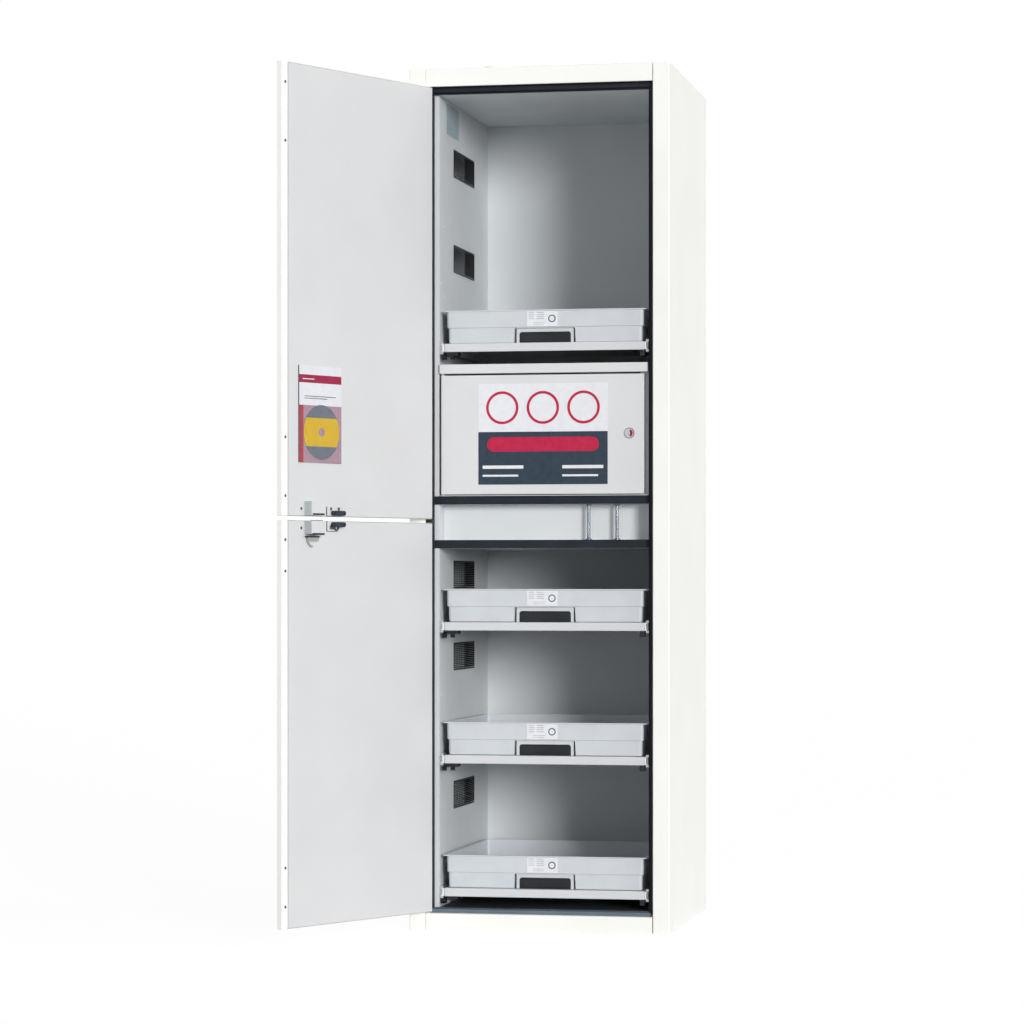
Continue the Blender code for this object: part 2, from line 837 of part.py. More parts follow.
def build_inner_box():
    """The inner steel box on the upper partition, with its hinged and lockable door."""
    left, right = box_left_side, box_right_side
    low, high = box_low, box_high
    face = box_face
    body_start = face + box_lip_depth
    body_end = back_face - box_back_room
    body = add_box("inner_box", (left, body_start, low), (right, body_end, high), grey_steel)
    lip = add_box(
        "inner_box_lip", (left, face, high - box_lip_height),
        (right, body_start + box_wall, high), grey_steel,
    )
    sill = add_box(
        "inner_box_sill", (left, face, low), (right, body_start + box_wall, low + box_wall),
        grey_steel,
    )
    join(body, lip, sill)
    hollow = add_box(
        "inner_box_hollow", (left + box_wall, body_start + box_wall, low + box_wall),
        (right - box_wall, body_end - box_wall, high - box_wall), grey_steel,
    )
    mouth = add_box(
        "inner_box_mouth", (left + box_flange, body_start - cut_over, low + box_wall),
        (right - box_flange, body_start + box_wall + cut_over, high - box_lip_height), grey_steel,
    )
    cut(body, hollow, mouth)

    pin_x, pin_y = left + box_pin_inset, face + box_pin_inset
    door_bottom = low + box_door_low
    door_top = high - box_lip_height - box_door_gap
    pivot = add_pivot("inner_box_pivot", (pin_x, pin_y, 0))
    door_left, door_right = left - pin_x, right - pin_x
    door_face, door_back = face - pin_y, face - pin_y + box_door_thickness
    door = add_box(
        "inner_box_door", (door_left, door_face, door_bottom),
        (door_right, door_back, door_top), grey_steel, pivot,
    )
    rim = Vector((box_door_rim, box_door_skin, box_door_rim))
    pan = add_box(
        "inner_box_door_pan", Vector((door_left, door_face, door_bottom)) + rim,
        (door_right - box_door_rim, door_back + cut_over, door_top - box_door_rim), grey_steel,
        pivot,
    )
    lock_x, lock_z = right - lock_inset - pin_x, low + lock_lift
    boss = add_rod(
        "inner_box_lock_boss", (lock_x, door_face + box_door_skin / 2, lock_z),
        lock_radius + box_door_skin, box_door_thickness - box_door_skin, grey_steel, "Y",
        steps=24, parent=pivot,
    )
    bore = add_rod(
        "inner_box_lock_bore", (lock_x, door_face - cut_over, lock_z),
        lock_barrel_radius + gap, box_door_thickness + 2 * cut_over, grey_steel, "Y",
        steps=24, parent=pivot,
    )
    cut(door, pan)
    join(door, boss)
    cut(door, bore)
    for number, (start, end, sheet_low, sheet) in enumerate(
        (
            (door_top - box_door_rim / 2, high - box_lip_height + pin_reach,
             high - box_lip_height, pin_reach + gap),
            (low, door_bottom + box_door_rim / 2, low, box_wall),
        ), 1
    ):
        pin = add_rod(
            f"inner_box_pin_{number}", (0, 0, start), pin_radius, end - start, zinc_steel,
            steps=16, parent=pivot,
        )
        join(door, pin)
        socket = add_rod(
            f"inner_box_socket_{number}",
            (pin_x, pin_y, sheet_low - (cut_over if sheet == box_wall else cut_over / 2)),
            pin_radius + gap, sheet + (2 * cut_over if sheet == box_wall else cut_over / 2),
            grey_steel, steps=16,
        )
        cut(body, socket)

    lock_pivot = add_pivot("inner_box_lock_pivot", (lock_x, door_face, lock_z), parent=pivot)
    lock = add_rod(
        "inner_box_lock", (0, -gap - lock_rim, 0), lock_radius, lock_rim, chrome, "Y", steps=24,
        parent=lock_pivot,
    )
    barrel_end = box_lip_depth + box_wall + tongue_gap
    barrel = add_rod(
        "inner_box_barrel", (0, -gap - lock_rim / 2, 0), lock_barrel_radius,
        barrel_end + tongue_thickness + gap + lock_rim / 2, chrome, "Y", steps=24,
        parent=lock_pivot,
    )
    tongue = add_box(
        "inner_box_tongue", (-tongue_width / 2, barrel_end, -tongue_length),
        (tongue_width / 2, barrel_end + tongue_thickness, tongue_width / 2), chrome, lock_pivot,
    )
    join(lock, barrel, tongue)


def build_tray(name, top, pivot):
    """A plastic tray with a wider upper band, and a recess in its front for the grip."""
    front_y = shelf_front + tray_setback
    middle = (inner_middle, front_y + tray_depth / 2)
    low = top + gap
    step_height = low + tray_lower
    high = step_height + tray_upper
    rounding = {"corner": tray_corner, "steps": corner_steps, "upright_only": True}

    def block(label, width, depth, bottom, upper, **more):
        return add_box(
            f"{name}_{label}",
            (middle[0] - width / 2, middle[1] - depth / 2, bottom),
            (middle[0] + width / 2, middle[1] + depth / 2, upper),
            grey_plastic, pivot, **more,
        )

    lower_width, lower_depth = tray_width - 2 * tray_step, tray_depth - 2 * tray_step
    tray = block("tray", tray_width, tray_depth, step_height, high, **rounding)
    base = block(
        "base", lower_width, lower_depth, low, step_height + tray_wall, **rounding
    )
    hollow = block(
        "hollow", tray_width - 2 * tray_wall, tray_depth - 2 * tray_wall,
        step_height + tray_wall, high + cut_over, **rounding,
    )
    well = block(
        "well", lower_width - 2 * tray_wall, lower_depth - 2 * tray_wall,
        low + tray_wall, step_height + 2 * tray_wall, **rounding,
    )
    cut(join(tray, base), hollow, well)

    base_front = front_y + tray_step
    half = recess_width / 2
    wall = add_box(
        f"{name}_recess_wall",
        (middle[0] - half - tray_wall, base_front + tray_wall / 2, low + tray_wall / 2),
        (middle[0] + half + tray_wall, base_front + recess_depth + tray_wall,
         step_height + tray_wall / 2),
        grey_plastic, pivot,
    )
    recess = add_box(
        f"{name}_recess",
        (middle[0] - half, base_front - cut_over, low - cut_over),
        (middle[0] + half, base_front + recess_depth, step_height - tray_wall),
        grey_plastic, pivot,
    )
    join(tray, wall)
    cut(tray, recess)

    grip_low = low
    grip_back = base_front + recess_depth - gap
    grip_low_y = grip_back - tray_grip_depth
    grip_half = tray_grip_width / 2
    grip = add_box(
        f"{name}_grip", (middle[0] - grip_half, grip_low_y, grip_low),
        (middle[0] + grip_half, grip_back, grip_low + tray_grip_height), black_plastic, pivot,
        corner=tray_grip_wall / 2, steps=2,
    )
    finger = add_box(
        f"{name}_finger",
        (middle[0] - grip_half + tray_grip_corner, grip_low_y + tray_grip_wall,
         grip_low + tray_grip_wall),
        (middle[0] + grip_half - tray_grip_corner, grip_back - tray_grip_wall,
         grip_low + tray_grip_height + cut_over),
        black_plastic, pivot,
    )
    cut(grip, finger)


def build_pull_out(number, top):
    """A steel shelf with its runners and its tray. The pieces hang from one empty each for the
    shelf and for the middle runners, so that each slides as one."""
    name = f"pull_out_{number}"
    pivot = add_pivot(f"{name}_slide", (0, 0, 0))
    middle_pivot = add_pivot(f"{name}_middle_slide", (0, 0, 0))
    back = shelf_front + shelf_depth
    shelf = add_box(
        f"{name}_shelf", (shelf_left, shelf_front, top - shelf_lip), (shelf_right, back, top),
        white_steel, pivot,
    )
    under = add_box(
        f"{name}_under",
        (shelf_left + shelf_sheet, shelf_front + shelf_sheet, top - shelf_lip - cut_over),
        (shelf_right - shelf_sheet, back - shelf_sheet, top - shelf_sheet), white_steel, pivot,
    )
    cut(shelf, under)
    centre = top - shelf_lip / 2
    middle_reach = runner_height / 2 - runner_back - slide_gap
    bar_reach = middle_reach - middle_wall - slide_gap
    for side, face, edge in ((-1, left_face, shelf_left), (1, right_face, shelf_right)):
        label = "left" if side < 0 else "right"
        outline = runner_outline(
            face - side * (runner_back + slide_gap), side, centre, middle_width, middle_back,
            middle_wall, middle_reach,
        )
        add_extrusion(
            f"{name}_middle_runner_{label}", outline, carcass_front + runner_setback,
            shelf_depth, zinc_steel, "Y", parent=middle_pivot,
        )
        ends = sorted((edge + side * slide_bar_width, edge - side * shelf_sheet / 2))
        bar = add_box(
            f"{name}_slide_bar_{label}",
            (ends[0], carcass_front + runner_setback, centre - bar_reach),
            (ends[1], back - shelf_sheet, centre + bar_reach), zinc_steel, pivot,
        )
        join(shelf, bar)
    build_tray(name, top, pivot)


build_body()
build_lining()
build_ventilation()
build_doors()
build_inner_box()
for pull_out_number, shelf_top in enumerate(shelf_tops, 1):
    build_pull_out(pull_out_number, shelf_top)
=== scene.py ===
# Looks of the acid and chemical cabinet: finishes, rounded sheet edges, latch parts, labels,
# moulded trays and louvres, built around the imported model. Metres, front towards -Y.

import json
import math

import bmesh
import bpy
from mathutils import Matrix, Vector


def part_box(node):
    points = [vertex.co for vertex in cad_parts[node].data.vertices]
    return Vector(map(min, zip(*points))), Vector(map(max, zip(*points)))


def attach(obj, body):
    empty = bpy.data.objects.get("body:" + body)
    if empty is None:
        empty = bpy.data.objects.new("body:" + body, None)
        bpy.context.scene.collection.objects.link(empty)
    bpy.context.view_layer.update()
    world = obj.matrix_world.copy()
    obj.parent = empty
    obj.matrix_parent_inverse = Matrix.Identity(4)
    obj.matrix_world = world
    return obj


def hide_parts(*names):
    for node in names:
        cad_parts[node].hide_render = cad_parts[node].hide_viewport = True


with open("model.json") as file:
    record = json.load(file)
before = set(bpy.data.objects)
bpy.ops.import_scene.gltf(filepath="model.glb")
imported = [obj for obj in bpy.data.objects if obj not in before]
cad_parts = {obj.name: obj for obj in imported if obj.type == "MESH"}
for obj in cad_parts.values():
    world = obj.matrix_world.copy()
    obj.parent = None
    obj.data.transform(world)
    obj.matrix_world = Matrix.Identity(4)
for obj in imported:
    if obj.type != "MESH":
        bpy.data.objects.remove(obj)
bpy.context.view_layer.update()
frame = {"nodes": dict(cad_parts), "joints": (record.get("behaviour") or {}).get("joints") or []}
joints = {joint["name"]: joint for joint in frame["joints"]}

# Camera, as the photograph's edges place it
image_size = 1024
sensor_width = 36.0
focal_pixels = 3389.2
horizon_pixel = 581.82
camera_place = (1.4217, -7.8562, 0.7944)
camera_yaw = 0.1938

# Real sizes of the sheet, its bends and what several pieces share
sheet = 0.0015
bend = 0.0025
post_depth = 0.026
return_depth = 0.030
fit = 0.0003
hair = 0.0002
front_seam = 0.0008
pin_radius = 0.0016
pin_reach = 0.004
spigot_flange = 0.012
print_layer = 0.0003

# The part of a noise pattern's range that the tones and the gloss are spread over
noise_low = 0.3
noise_high = 0.7


def millimetres(size):
    """The scale of a texture whose pattern repeats at this many millimetres."""
    return 1000.0 / size


def colour(text):
    """An sRGB hex colour as the linear colour that a shader takes."""
    parts = [int(text[start:start + 2], 16) / 255 for start in (1, 3, 5)]
    linear = [
        part / 12.92 if part <= 0.04045 else ((part + 0.055) / 1.055) ** 2.4 for part in parts
    ]
    return (*linear, 1.0)


def add_node(tree, kind, inputs=None, **settings):
    """A shader node with its settings, whose inputs take a value or another node's socket."""
    made = tree.nodes.new(f"ShaderNode{kind}")
    for key, value in settings.items():
        setattr(made, key, value)
    for socket, value in (inputs or {}).items():
        if isinstance(value, bpy.types.NodeSocket):
            tree.links.new(value, made.inputs[socket])
        else:
            made.inputs[socket].default_value = value
    return made


def new_material(name, roughness, metallic=0.0, **sockets):
    """A material with its tree, its Principled shader and the object's own coordinates."""
    made = bpy.data.materials.new(name)
    made.use_nodes = True
    tree = made.node_tree
    shader = tree.nodes["Principled BSDF"]
    shader.inputs["Roughness"].default_value = roughness
    shader.inputs["Metallic"].default_value = metallic
    for socket, value in sockets.items():
        shader.inputs[socket.replace("_", " ")].default_value = value
    place = add_node(tree, "TexCoord").outputs["Object"]
    return made, tree, shader, place


def noise(tree, place, size, detail):
    """A cloudy height pattern whose patches are this many millimetres wide."""
    values = {"Vector": place, "Scale": millimetres(size), "Detail": detail}
    return add_node(tree, "TexNoise", values).outputs["Fac"]


def mottle(tree, shader, place, light, dark, size, detail=3.0):
    """Drifts the base colour between two near tones over patches of this size."""
    patches = noise(tree, place, size, detail)
    ramp = add_node(tree, "ValToRGB", {"Fac": patches})
    stops = ramp.color_ramp.elements
    for stop, share, tone in zip(stops, (noise_low, noise_high), (dark, light)):
        stop.position = share
        stop.color = colour(tone)
    tree.links.new(ramp.outputs["Color"], shader.inputs["Base Color"])
    return patches


def uneven_gloss(tree, shader, place, low, high, size):
    """Lets the roughness wander, as handling and cleaning leave it."""
    span = add_node(tree, "MapRange", {
        "Value": noise(tree, place, size, 4.0), "From Min": noise_low, "From Max": noise_high,
        "To Min": low, "To Max": high,
    })
    tree.links.new(span.outputs["Result"], shader.inputs["Roughness"])


def raise_surface(tree, shader, height, depth):
    """Bumps the surface by a height pattern, depth metres deep."""
    bump = add_node(tree, "Bump", {"Height": height, "Distance": depth, "Strength": 1.0})
    tree.links.new(bump.outputs["Normal"], shader.inputs["Normal"])


def powder_coat(name, light, dark):
    """Polyester powder coat, sprayed and baked on steel: an orange-peel skin that softens
    every reflection. The real peel is about 1 mm and is drawn at 3 mm, so that it shows."""
    made, tree, shader, place = new_material(name, 0.42, IOR=1.5)
    mottle(tree, shader, place, light, dark, 180)
    uneven_gloss(tree, shader, place, 0.36, 0.48, 90)
    raise_surface(tree, shader, noise(tree, place, 3, 1.5), 0.00006)
    return made


def melamine(name, light, dark):
    """Melamine-faced board, pressed against a pearl-grained plate: tiny soft pits about 2 mm
    apart, which take the shine off and leave a dull even grey."""
    made, tree, shader, place = new_material(name, 0.5, IOR=1.5)
    mottle(tree, shader, place, light, dark, 260)
    uneven_gloss(tree, shader, place, 0.44, 0.58, 120)
    pits = add_node(
        tree, "TexVoronoi", {"Vector": place, "Scale": millimetres(2.4)}, feature="SMOOTH_F1"
    )
    raise_surface(tree, shader, pits.outputs["Distance"], 0.00005)
    return made


def edging(name, light, dark):
    """Graphite sealing strip and edge banding, extruded: matt, nearly black and slightly
    blue, with a fine grain that gives a broad soft sheen on its upper faces."""
    made, tree, shader, place = new_material(name, 0.46, Specular_IOR_Level=0.12)
    mottle(tree, shader, place, light, dark, 60)
    uneven_gloss(tree, shader, place, 0.4, 0.54, 30)
    raise_surface(tree, shader, noise(tree, place, 1.6, 2.0), 0.00005)
    return made


def moulded(name, light, dark, roughness, grain_size, depth, **sockets):
    """Injection-moulded plastic from a spark-eroded mould: an even fine grain, a satin
    sheen, and faint flow clouds a few centimetres across."""
    made, tree, shader, place = new_material(name, roughness, **sockets)
    mottle(tree, shader, place, light, dark, 45)
    uneven_gloss(tree, shader, place, roughness - 0.05, roughness + 0.06, 25)
    raise_surface(tree, shader, noise(tree, place, grain_size, 2.0), depth)
    return made


def plated(name, light, dark, roughness, streak):
    """Rolled steel strip with a plated skin: long faint streaks along the rolling direction
    and a reflection that is bright but not clear."""
    made, tree, shader, place = new_material(name, roughness, metallic=1.0)
    stretched = add_node(
        tree, "Mapping", {"Vector": place, "Scale": (1.0, 0.06, 1.0)}
    ).outputs["Vector"]
    streaks = mottle(tree, shader, stretched, light, dark, streak, 4.0)
    uneven_gloss(tree, shader, stretched, roughness - 0.06, roughness + 0.08, streak * 2)
    raise_surface(tree, shader, streaks, 0.00002)
    return made


def printed(name, light, dark, roughness):
    """Coated paper or printed film: flat ink with a trace of fibre and a dull even sheen."""
    made, tree, shader, place = new_material(name, roughness, Specular_IOR_Level=0.2)
    mottle(tree, shader, place, light, dark, 14)
    raise_surface(tree, shader, noise(tree, place, 0.9, 3.0), 0.00001)
    return made


def clear_film(name):
    """Clear soft vinyl of a document pocket: nearly invisible, with a wavy gloss."""
    made, tree, shader, place = new_material(name, 0.15, Alpha=0.025, IOR=1.53)
    mottle(tree, shader, place, "#DDE0E2", "#D2D6D8", 40)
    raise_surface(tree, shader, noise(tree, place, 28, 1.0), 0.0006)
    return made


white_coat = powder_coat("white_powder_coated_steel", "#F9F9F5", "#F5F5F1")
liner_coat = powder_coat("light_grey_powder_coated_liner", "#D3D4D5", "#CFD0D1")
box_coat = powder_coat("pale_grey_powder_coated_box", "#DBDCDE", "#D7D8DA")
shelf_coat = powder_coat("grey_white_powder_coated_shelf", "#D5D6D9", "#D0D2D5")
grey_board = melamine("light_grey_melamine_board", "#D9DCDE", "#D2D6D8")
seal_rubber = edging("graphite_sealing_strip", "#272B32", "#20242A")
edge_band = edging("anthracite_edge_band", "#272D35", "#20252C")
# A lighter slate copy of the graphite strip: on the seal's lower leg it is a painted sheen of the
# light its upper faces catch; the floor's front band takes the same tone.
sill_band_and_painted_sheen = edging("slate_sill_strip_and_painted_sheen", "#6D7A83", "#616C76")
# A near-black grey board, used for the floor board and for the painted shadow gap round the catch
# plates.
dark_board_and_gap_shade = melamine("dark_grey_board_and_painted_gap_shade", "#3A4248", "#32393F")
black_abs = moulded(
    "black_grained_abs", "#1B1D22", "#15171B", 0.45, 0.9, 0.00004, Specular_IOR_Level=0.3
)
# A darker, duller black than the louvres: painted shade for the grille's rear half.
vane_shade_black = moulded(
    "vent_vanes_painted_shade_black", "#0B0C0E", "#07080A", 0.8, 1.1, 0.00005, Specular_IOR_Level=0.05
)
arm_nylon = moulded(
    "blue_black_glass_filled_nylon", "#25323D", "#1B2630", 0.34, 1.2, 0.00005,
    Specular_IOR_Level=0.4,
)
# A grey for the lock case's side face: painted shade, since that face turns away from the light.
lock_side_shade_grey = moulded("lock_side_painted_shade_grey", "#BCC3C5", "#B2BABC", 0.4, 1.2, 0.00003, IOR=1.5)
# A mid-grey nylon tone for the latch hook.
hook_nylon = moulded("mid_grey_nylon", "#A4A6A5", "#989A99", 0.42, 1.0, 0.00003, IOR=1.53)
tray_plastic = moulded(
    "light_grey_polypropylene", "#D0D4D8", "#CACED3", 0.38, 1.4, 0.00003, IOR=1.49
)
bracket_plastic = moulded("white_nylon", "#EDEEEE", "#E6E8E8", 0.4, 1.0, 0.00003, IOR=1.53)
zinc = plated("bright_zinc_plated_steel", "#C9CCCE", "#B4B8BB", 0.34, 5)
chrome = plated("polished_chrome_plate", "#C9CCD0", "#BEC2C7", 0.12, 14)
# The rods' steel is made darker than bright steel: a painted reflection of dark surroundings.
rod_steel_painted_dark_reflection = plated("steel_rod_painted_dark_reflection", "#737B85", "#626A74", 0.24, 14)
dark_steel = plated("blackened_steel_screw", "#6E7072", "#55575A", 0.4, 3)
paper_white = printed("white_coated_paper", "#E9EAEE", "#E2E3E8", 0.55)
soft_card = printed("soft_white_card", "#DEDFE4", "#D8D9DE", 0.6)
deep_crimson = printed("deep_crimson_card_band", "#9C2B4C", "#922645", 0.5)
ink_grey = printed("pale_grey_print", "#B0B5BC", "#A4AAB2", 0.6)
ink_dark = printed("charcoal_print", "#4A4F57", "#40454D", 0.5)
crimson = printed("crimson_print", "#C12A4E", "#B52346", 0.4)
slate = printed("slate_print", "#34414F", "#2E3A47", 0.45)
plate_blue = printed("blue_grey_foil_label", "#A9BAC3", "#98AAB4", 0.35)
mauve_card = printed("mauve_card", "#A98A98", "#9C7D8C", 0.6)
red_spine = printed("red_spine_card", "#A93340", "#9C2B38", 0.5)
disc_grey = printed("grey_printed_disc", "#676F7B", "#5D6571", 0.3)
disc_yellow = printed("yellow_printed_band", "#D2AE08", "#C8A204", 0.35)
signal_red = printed("dark_red_lock_mark", "#A21F2B", "#8C1823", 0.3)
pocket_film = clear_film("clear_vinyl_film")


def new_shape():
    return bmesh.new()


def block(shape, low, high, radius=0.0, steps=2):
    """Adds a box between two corners to a shape, its edges rounded by radius."""
    low, high = Vector(low), Vector(high)
    place = Matrix.Translation((low + high) / 2) @ Matrix.Diagonal((*(high - low), 1))
    made = bmesh.ops.create_cube(shape, size=1, matrix=place)["verts"]
    if radius:
        edges = list({edge for vert in made for edge in vert.link_edges})
        bmesh.ops.bevel(shape, geom=edges, offset=radius, segments=steps, profile=0.5, affect="EDGES")
    return shape


def prism(shape, outline, axis, start, end):
    """Adds an outline extruded along an axis. The outline lies in XY for a run along Z, in YZ
    for a run along X, and in XZ for a run along Y."""
    def at(point, run):
        first, second = point
        if axis == "X":
            return run, first, second
        return (first, run, second) if axis == "Y" else (first, second, run)

    near = [shape.verts.new(at(point, start)) for point in outline]
    far = [shape.verts.new(at(point, end)) for point in outline]
    faces = [shape.faces.new(near), shape.faces.new(far[::-1])]
    count = len(outline)
    for index in range(count):
        after = (index + 1) % count
        faces.append(shape.faces.new((near[index], far[index], far[after], near[after])))
    bmesh.ops.recalc_face_normals(shape, faces=faces)
    return shape


def lathe(shape, profile, centre, axis="Z", steps=32):
    """Adds a solid turned about an axis through centre. The profile's points are (radius,
    height along the axis), from one end to the other. Its ends are closed by discs, and a
    profile that comes back to its first point makes a ring instead."""
    turn = {
        "X": Matrix.Rotation(math.pi / 2, 4, "Y"),
        "Y": Matrix.Rotation(-math.pi / 2, 4, "X"),
        "Z": Matrix.Identity(4),
    }[axis]
    place = Matrix.Translation(centre) @ turn
    rings = []
    closed = profile[0] == profile[-1]
    for radius, height in profile[:-1] if closed else profile:
        if radius == 0:
            rings.append([shape.verts.new(place @ Vector((0, 0, height)))])
            continue
        rings.append([
            shape.verts.new(place @ Vector((
                radius * math.cos(math.tau * step / steps),
                radius * math.sin(math.tau * step / steps), height,
            )))
            for step in range(steps)
        ])
    if closed:
        rings.append(rings[0])
    faces = []
    for lower, upper in zip(rings, rings[1:]):
        for step in range(steps):
            after = (step + 1) % steps
            quad = [lower[step % len(lower)], lower[after % len(lower)],
                    upper[after % len(upper)], upper[step % len(upper)]]
            faces.append(shape.faces.new(list(dict.fromkeys(quad))))
    for ring in (rings[0], rings[-1]):
        if len(ring) > 1 and rings[0] is not rings[-1]:
            faces.append(shape.faces.new(ring))
    bmesh.ops.recalc_face_normals(shape, faces=faces)
    return shape


def flat_ring(shape, place, inner, outer, start, end, steps):
    """Adds a ring round a (x, z) place, between two radii and two depths."""
    profile = [(inner, start), (outer, start), (outer, end), (inner, end), (inner, start)]
    return lathe(shape, profile, (place[0], 0, place[1]), "Y", steps)


def pin(shape, pivot, start, end, steps):
    """Adds an upright hinge pin between two heights."""
    profile = [(0, start), (pin_radius, start), (pin_radius, end), (0, end)]
    return lathe(shape, profile, (pivot[0], pivot[1], 0), steps=steps)


def loft(shape, loops, cap_ends=True):
    """Adds the skin between loops that have the same number of points."""
    rings = [[shape.verts.new(point) for point in loop] for loop in loops]
    faces = []
    for lower, upper in zip(rings, rings[1:]):
        for index in range(len(lower)):
            after = (index + 1) % len(lower)
            faces.append(shape.faces.new((lower[index], lower[after], upper[after], upper[index])))
    if cap_ends:
        faces += [shape.faces.new(rings[0]), shape.faces.new(rings[-1])]
    bmesh.ops.recalc_face_normals(shape, faces=faces)
    return shape


def rounded_rectangle(centre, half_x, half_y, radius, height, steps=6):
    """A loop of points round a level rectangle with round corners."""
    loop = []
    for corner, (way_x, way_y) in enumerate(((1, 1), (-1, 1), (-1, -1), (1, -1))):
        for step in range(steps + 1):
            angle = math.pi / 2 * (corner + step / steps)
            loop.append((
                centre[0] + way_x * (half_x - radius) + radius * math.cos(angle),
                centre[1] + way_y * (half_y - radius) + radius * math.sin(angle),
                height,
            ))
    return loop


def flat_loop(low, high, radius, steps=6):
    """The outline of a rounded rectangle between two corners, as 2D points."""
    middle = ((low[0] + high[0]) / 2, (low[1] + high[1]) / 2)
    loop = rounded_rectangle(middle, (high[0] - low[0]) / 2, (high[1] - low[1]) / 2, radius, 0, steps)
    return [(x, y) for x, y, _ in loop]


def beside(path, distance):
    """A path moved sideways by a distance, with mitred corners."""
    points = [Vector(point) for point in path]
    moved = []
    for index, point in enumerate(points):
        sides = []
        if index:
            sides.append((point - points[index - 1]).normalized())
        if index + 1 < len(points):
            sides.append((points[index + 1] - point).normalized())
        normals = [Vector((-side.y, side.x)) for side in sides]
        middle = sum(normals, Vector((0, 0))).normalized()
        moved.append(point + middle * (distance / middle.dot(normals[0])))
    return moved


def eased(path, radius, steps=5):
    """An open path with its corners replaced by arcs of this radius."""
    points = [Vector(point) for point in path]
    result = [points[0]]
    for before, here, after in zip(points, points[1:], points[2:]):
        back, ahead = (before - here).normalized(), (after - here).normalized()
        half = back.angle(ahead) / 2
        centre = here + (back + ahead).normalized() * (radius / math.sin(half))
        start = here + back * (radius / math.tan(half)) - centre
        end = here + ahead * (radius / math.tan(half)) - centre
        sweep = start.angle(end) * (1 if start.cross(end) > 0 else -1)
        result += [centre + Matrix.Rotation(sweep * step / steps, 2) @ start
                   for step in range(steps + 1)]
    return result + [points[-1]]


def bent_sheet(path, thickness):
    """The outline of a sheet folded along a path, which is its outer face."""
    outer = eased(path, bend)
    inner = eased(beside(path, thickness), bend - abs(thickness))
    return [tuple(point) for point in outer + inner[::-1]]


def combine(shape, tool, operation="DIFFERENCE"):
    """One closed shape cut by another, or joined with it."""
    holders = []
    for part in (shape, tool):
        data = bpy.data.meshes.new("work")
        part.to_mesh(data)
        part.free()
        holder = bpy.data.objects.new("work", data)
        bpy.context.scene.collection.objects.link(holder)
        holders.append(holder)
    modifier = holders[0].modifiers.new("work", "BOOLEAN")
    modifier.operation = operation
    modifier.object = holders[1]
    bpy.context.view_layer.update()
    result = bmesh.new()
    result.from_object(holders[0], bpy.context.evaluated_depsgraph_get())
    for holder in holders:
        data = holder.data
        bpy.data.objects.remove(holder)
        bpy.data.meshes.remove(data)
    return result


def soften(shape, radius, steps=3, least_angle=60):
    """Rounds the edges of a shape that are sharper than an angle."""
    edges = [
        edge for edge in shape.edges
        if len(edge.link_faces) == 2 and edge.calc_face_angle() > math.radians(least_angle)
    ]
    bmesh.ops.bevel(
        shape, geom=edges, offset=radius, segments=steps, profile=0.5, affect="EDGES",
        clamp_overlap=True,
    )
    return shape


def piece(name, shape, material, body, replaces=(), turn=None):
    """Makes an object of a shape, gives it its finish, and lets it ride on a body. turn places a
    shape that was drawn on a closed door."""
    if turn is not None:
        shape.transform(turn)
    data = bpy.data.meshes.new(name)
    shape.to_mesh(data)
    shape.free()
    data.materials.append(material)
    data.shade_smooth()
    data.set_sharp_from_angle(angle=math.radians(42))
    made = bpy.data.objects.new(name, data)
    bpy.context.scene.collection.objects.link(made)
    weigh = made.modifiers.new("flat_faces", "WEIGHTED_NORMAL")
    weigh.keep_sharp = True
    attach(made, body)
    if replaces:
        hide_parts(*replaces)
    return made


def screw_heads(shape, places, radius, height, axis="Z"):
    """Adds low domed screw heads with a shallow socket."""
    profile = [
        (0, -height), (radius, -height), (radius, height * 0.3), (radius * 0.82, height * 0.85),
        (radius * 0.5, height), (radius * 0.42, height * 0.3), (0, height * 0.3),
    ]
    for place in places:
        lathe(shape, profile, place, axis, 16)
    return shape


def dress(names, material):
    """Gives CAD nodes that already have the right shape their finish."""
    for name in names:
        node = frame["nodes"][name]
        node.data.materials.clear()
        node.data.materials.append(material)


def corners(node, turn):
    """The lowest and highest corner of a node on a door, measured with the door closed."""
    back = turn.inverted()
    points = [back @ vert.co for vert in frame["nodes"][node].data.vertices]
    low = Vector([min(point[axis] for point in points) for axis in range(3)])
    high = Vector([max(point[axis] for point in points) for axis in range(3)])
    return low, high


root = "cabinet"
left_low, left_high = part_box("side_panel_left")
right_low, right_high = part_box("side_panel_right")
front, rear = left_low.y, left_high.y
half_width = right_high.x
post_face = right_low.x
body_height = left_high.z


def side_panel(side):
    """A side sheet folded round its front post, with the post's cap and two cable slots."""
    name = "side_panel_left" if side < 0 else "side_panel_right"
    outer, inner = side * half_width, side * post_face
    path = [(outer, rear), (outer, front), (inner, front), (inner, front + post_depth)]
    shape = prism(new_shape(), bent_sheet(path, sheet * -side), "Z", 0, body_height)
    edge = sheet / 2
    cap = block(
        new_shape(), (min(outer, inner) + edge, front + edge, body_height - sheet),
        (max(outer, inner) - edge, front + post_depth - fit, body_height - fit / 2),
    )
    shape = combine(shape, cap, "UNION")
    slot_half, slot_low, slot_high = 0.0015, 0.014, 0.032
    for place in (front + 0.0465, rear - 0.020):
        slot = prism(
            new_shape(),
            flat_loop((place - slot_half, slot_low), (place + slot_half, slot_high),
                      slot_half * 0.9),
            "X", outer - 2 * sheet, outer + 2 * sheet,
        )
        shape = combine(shape, slot)
    piece(f"{name}_sheet", shape, white_coat, root, [name])


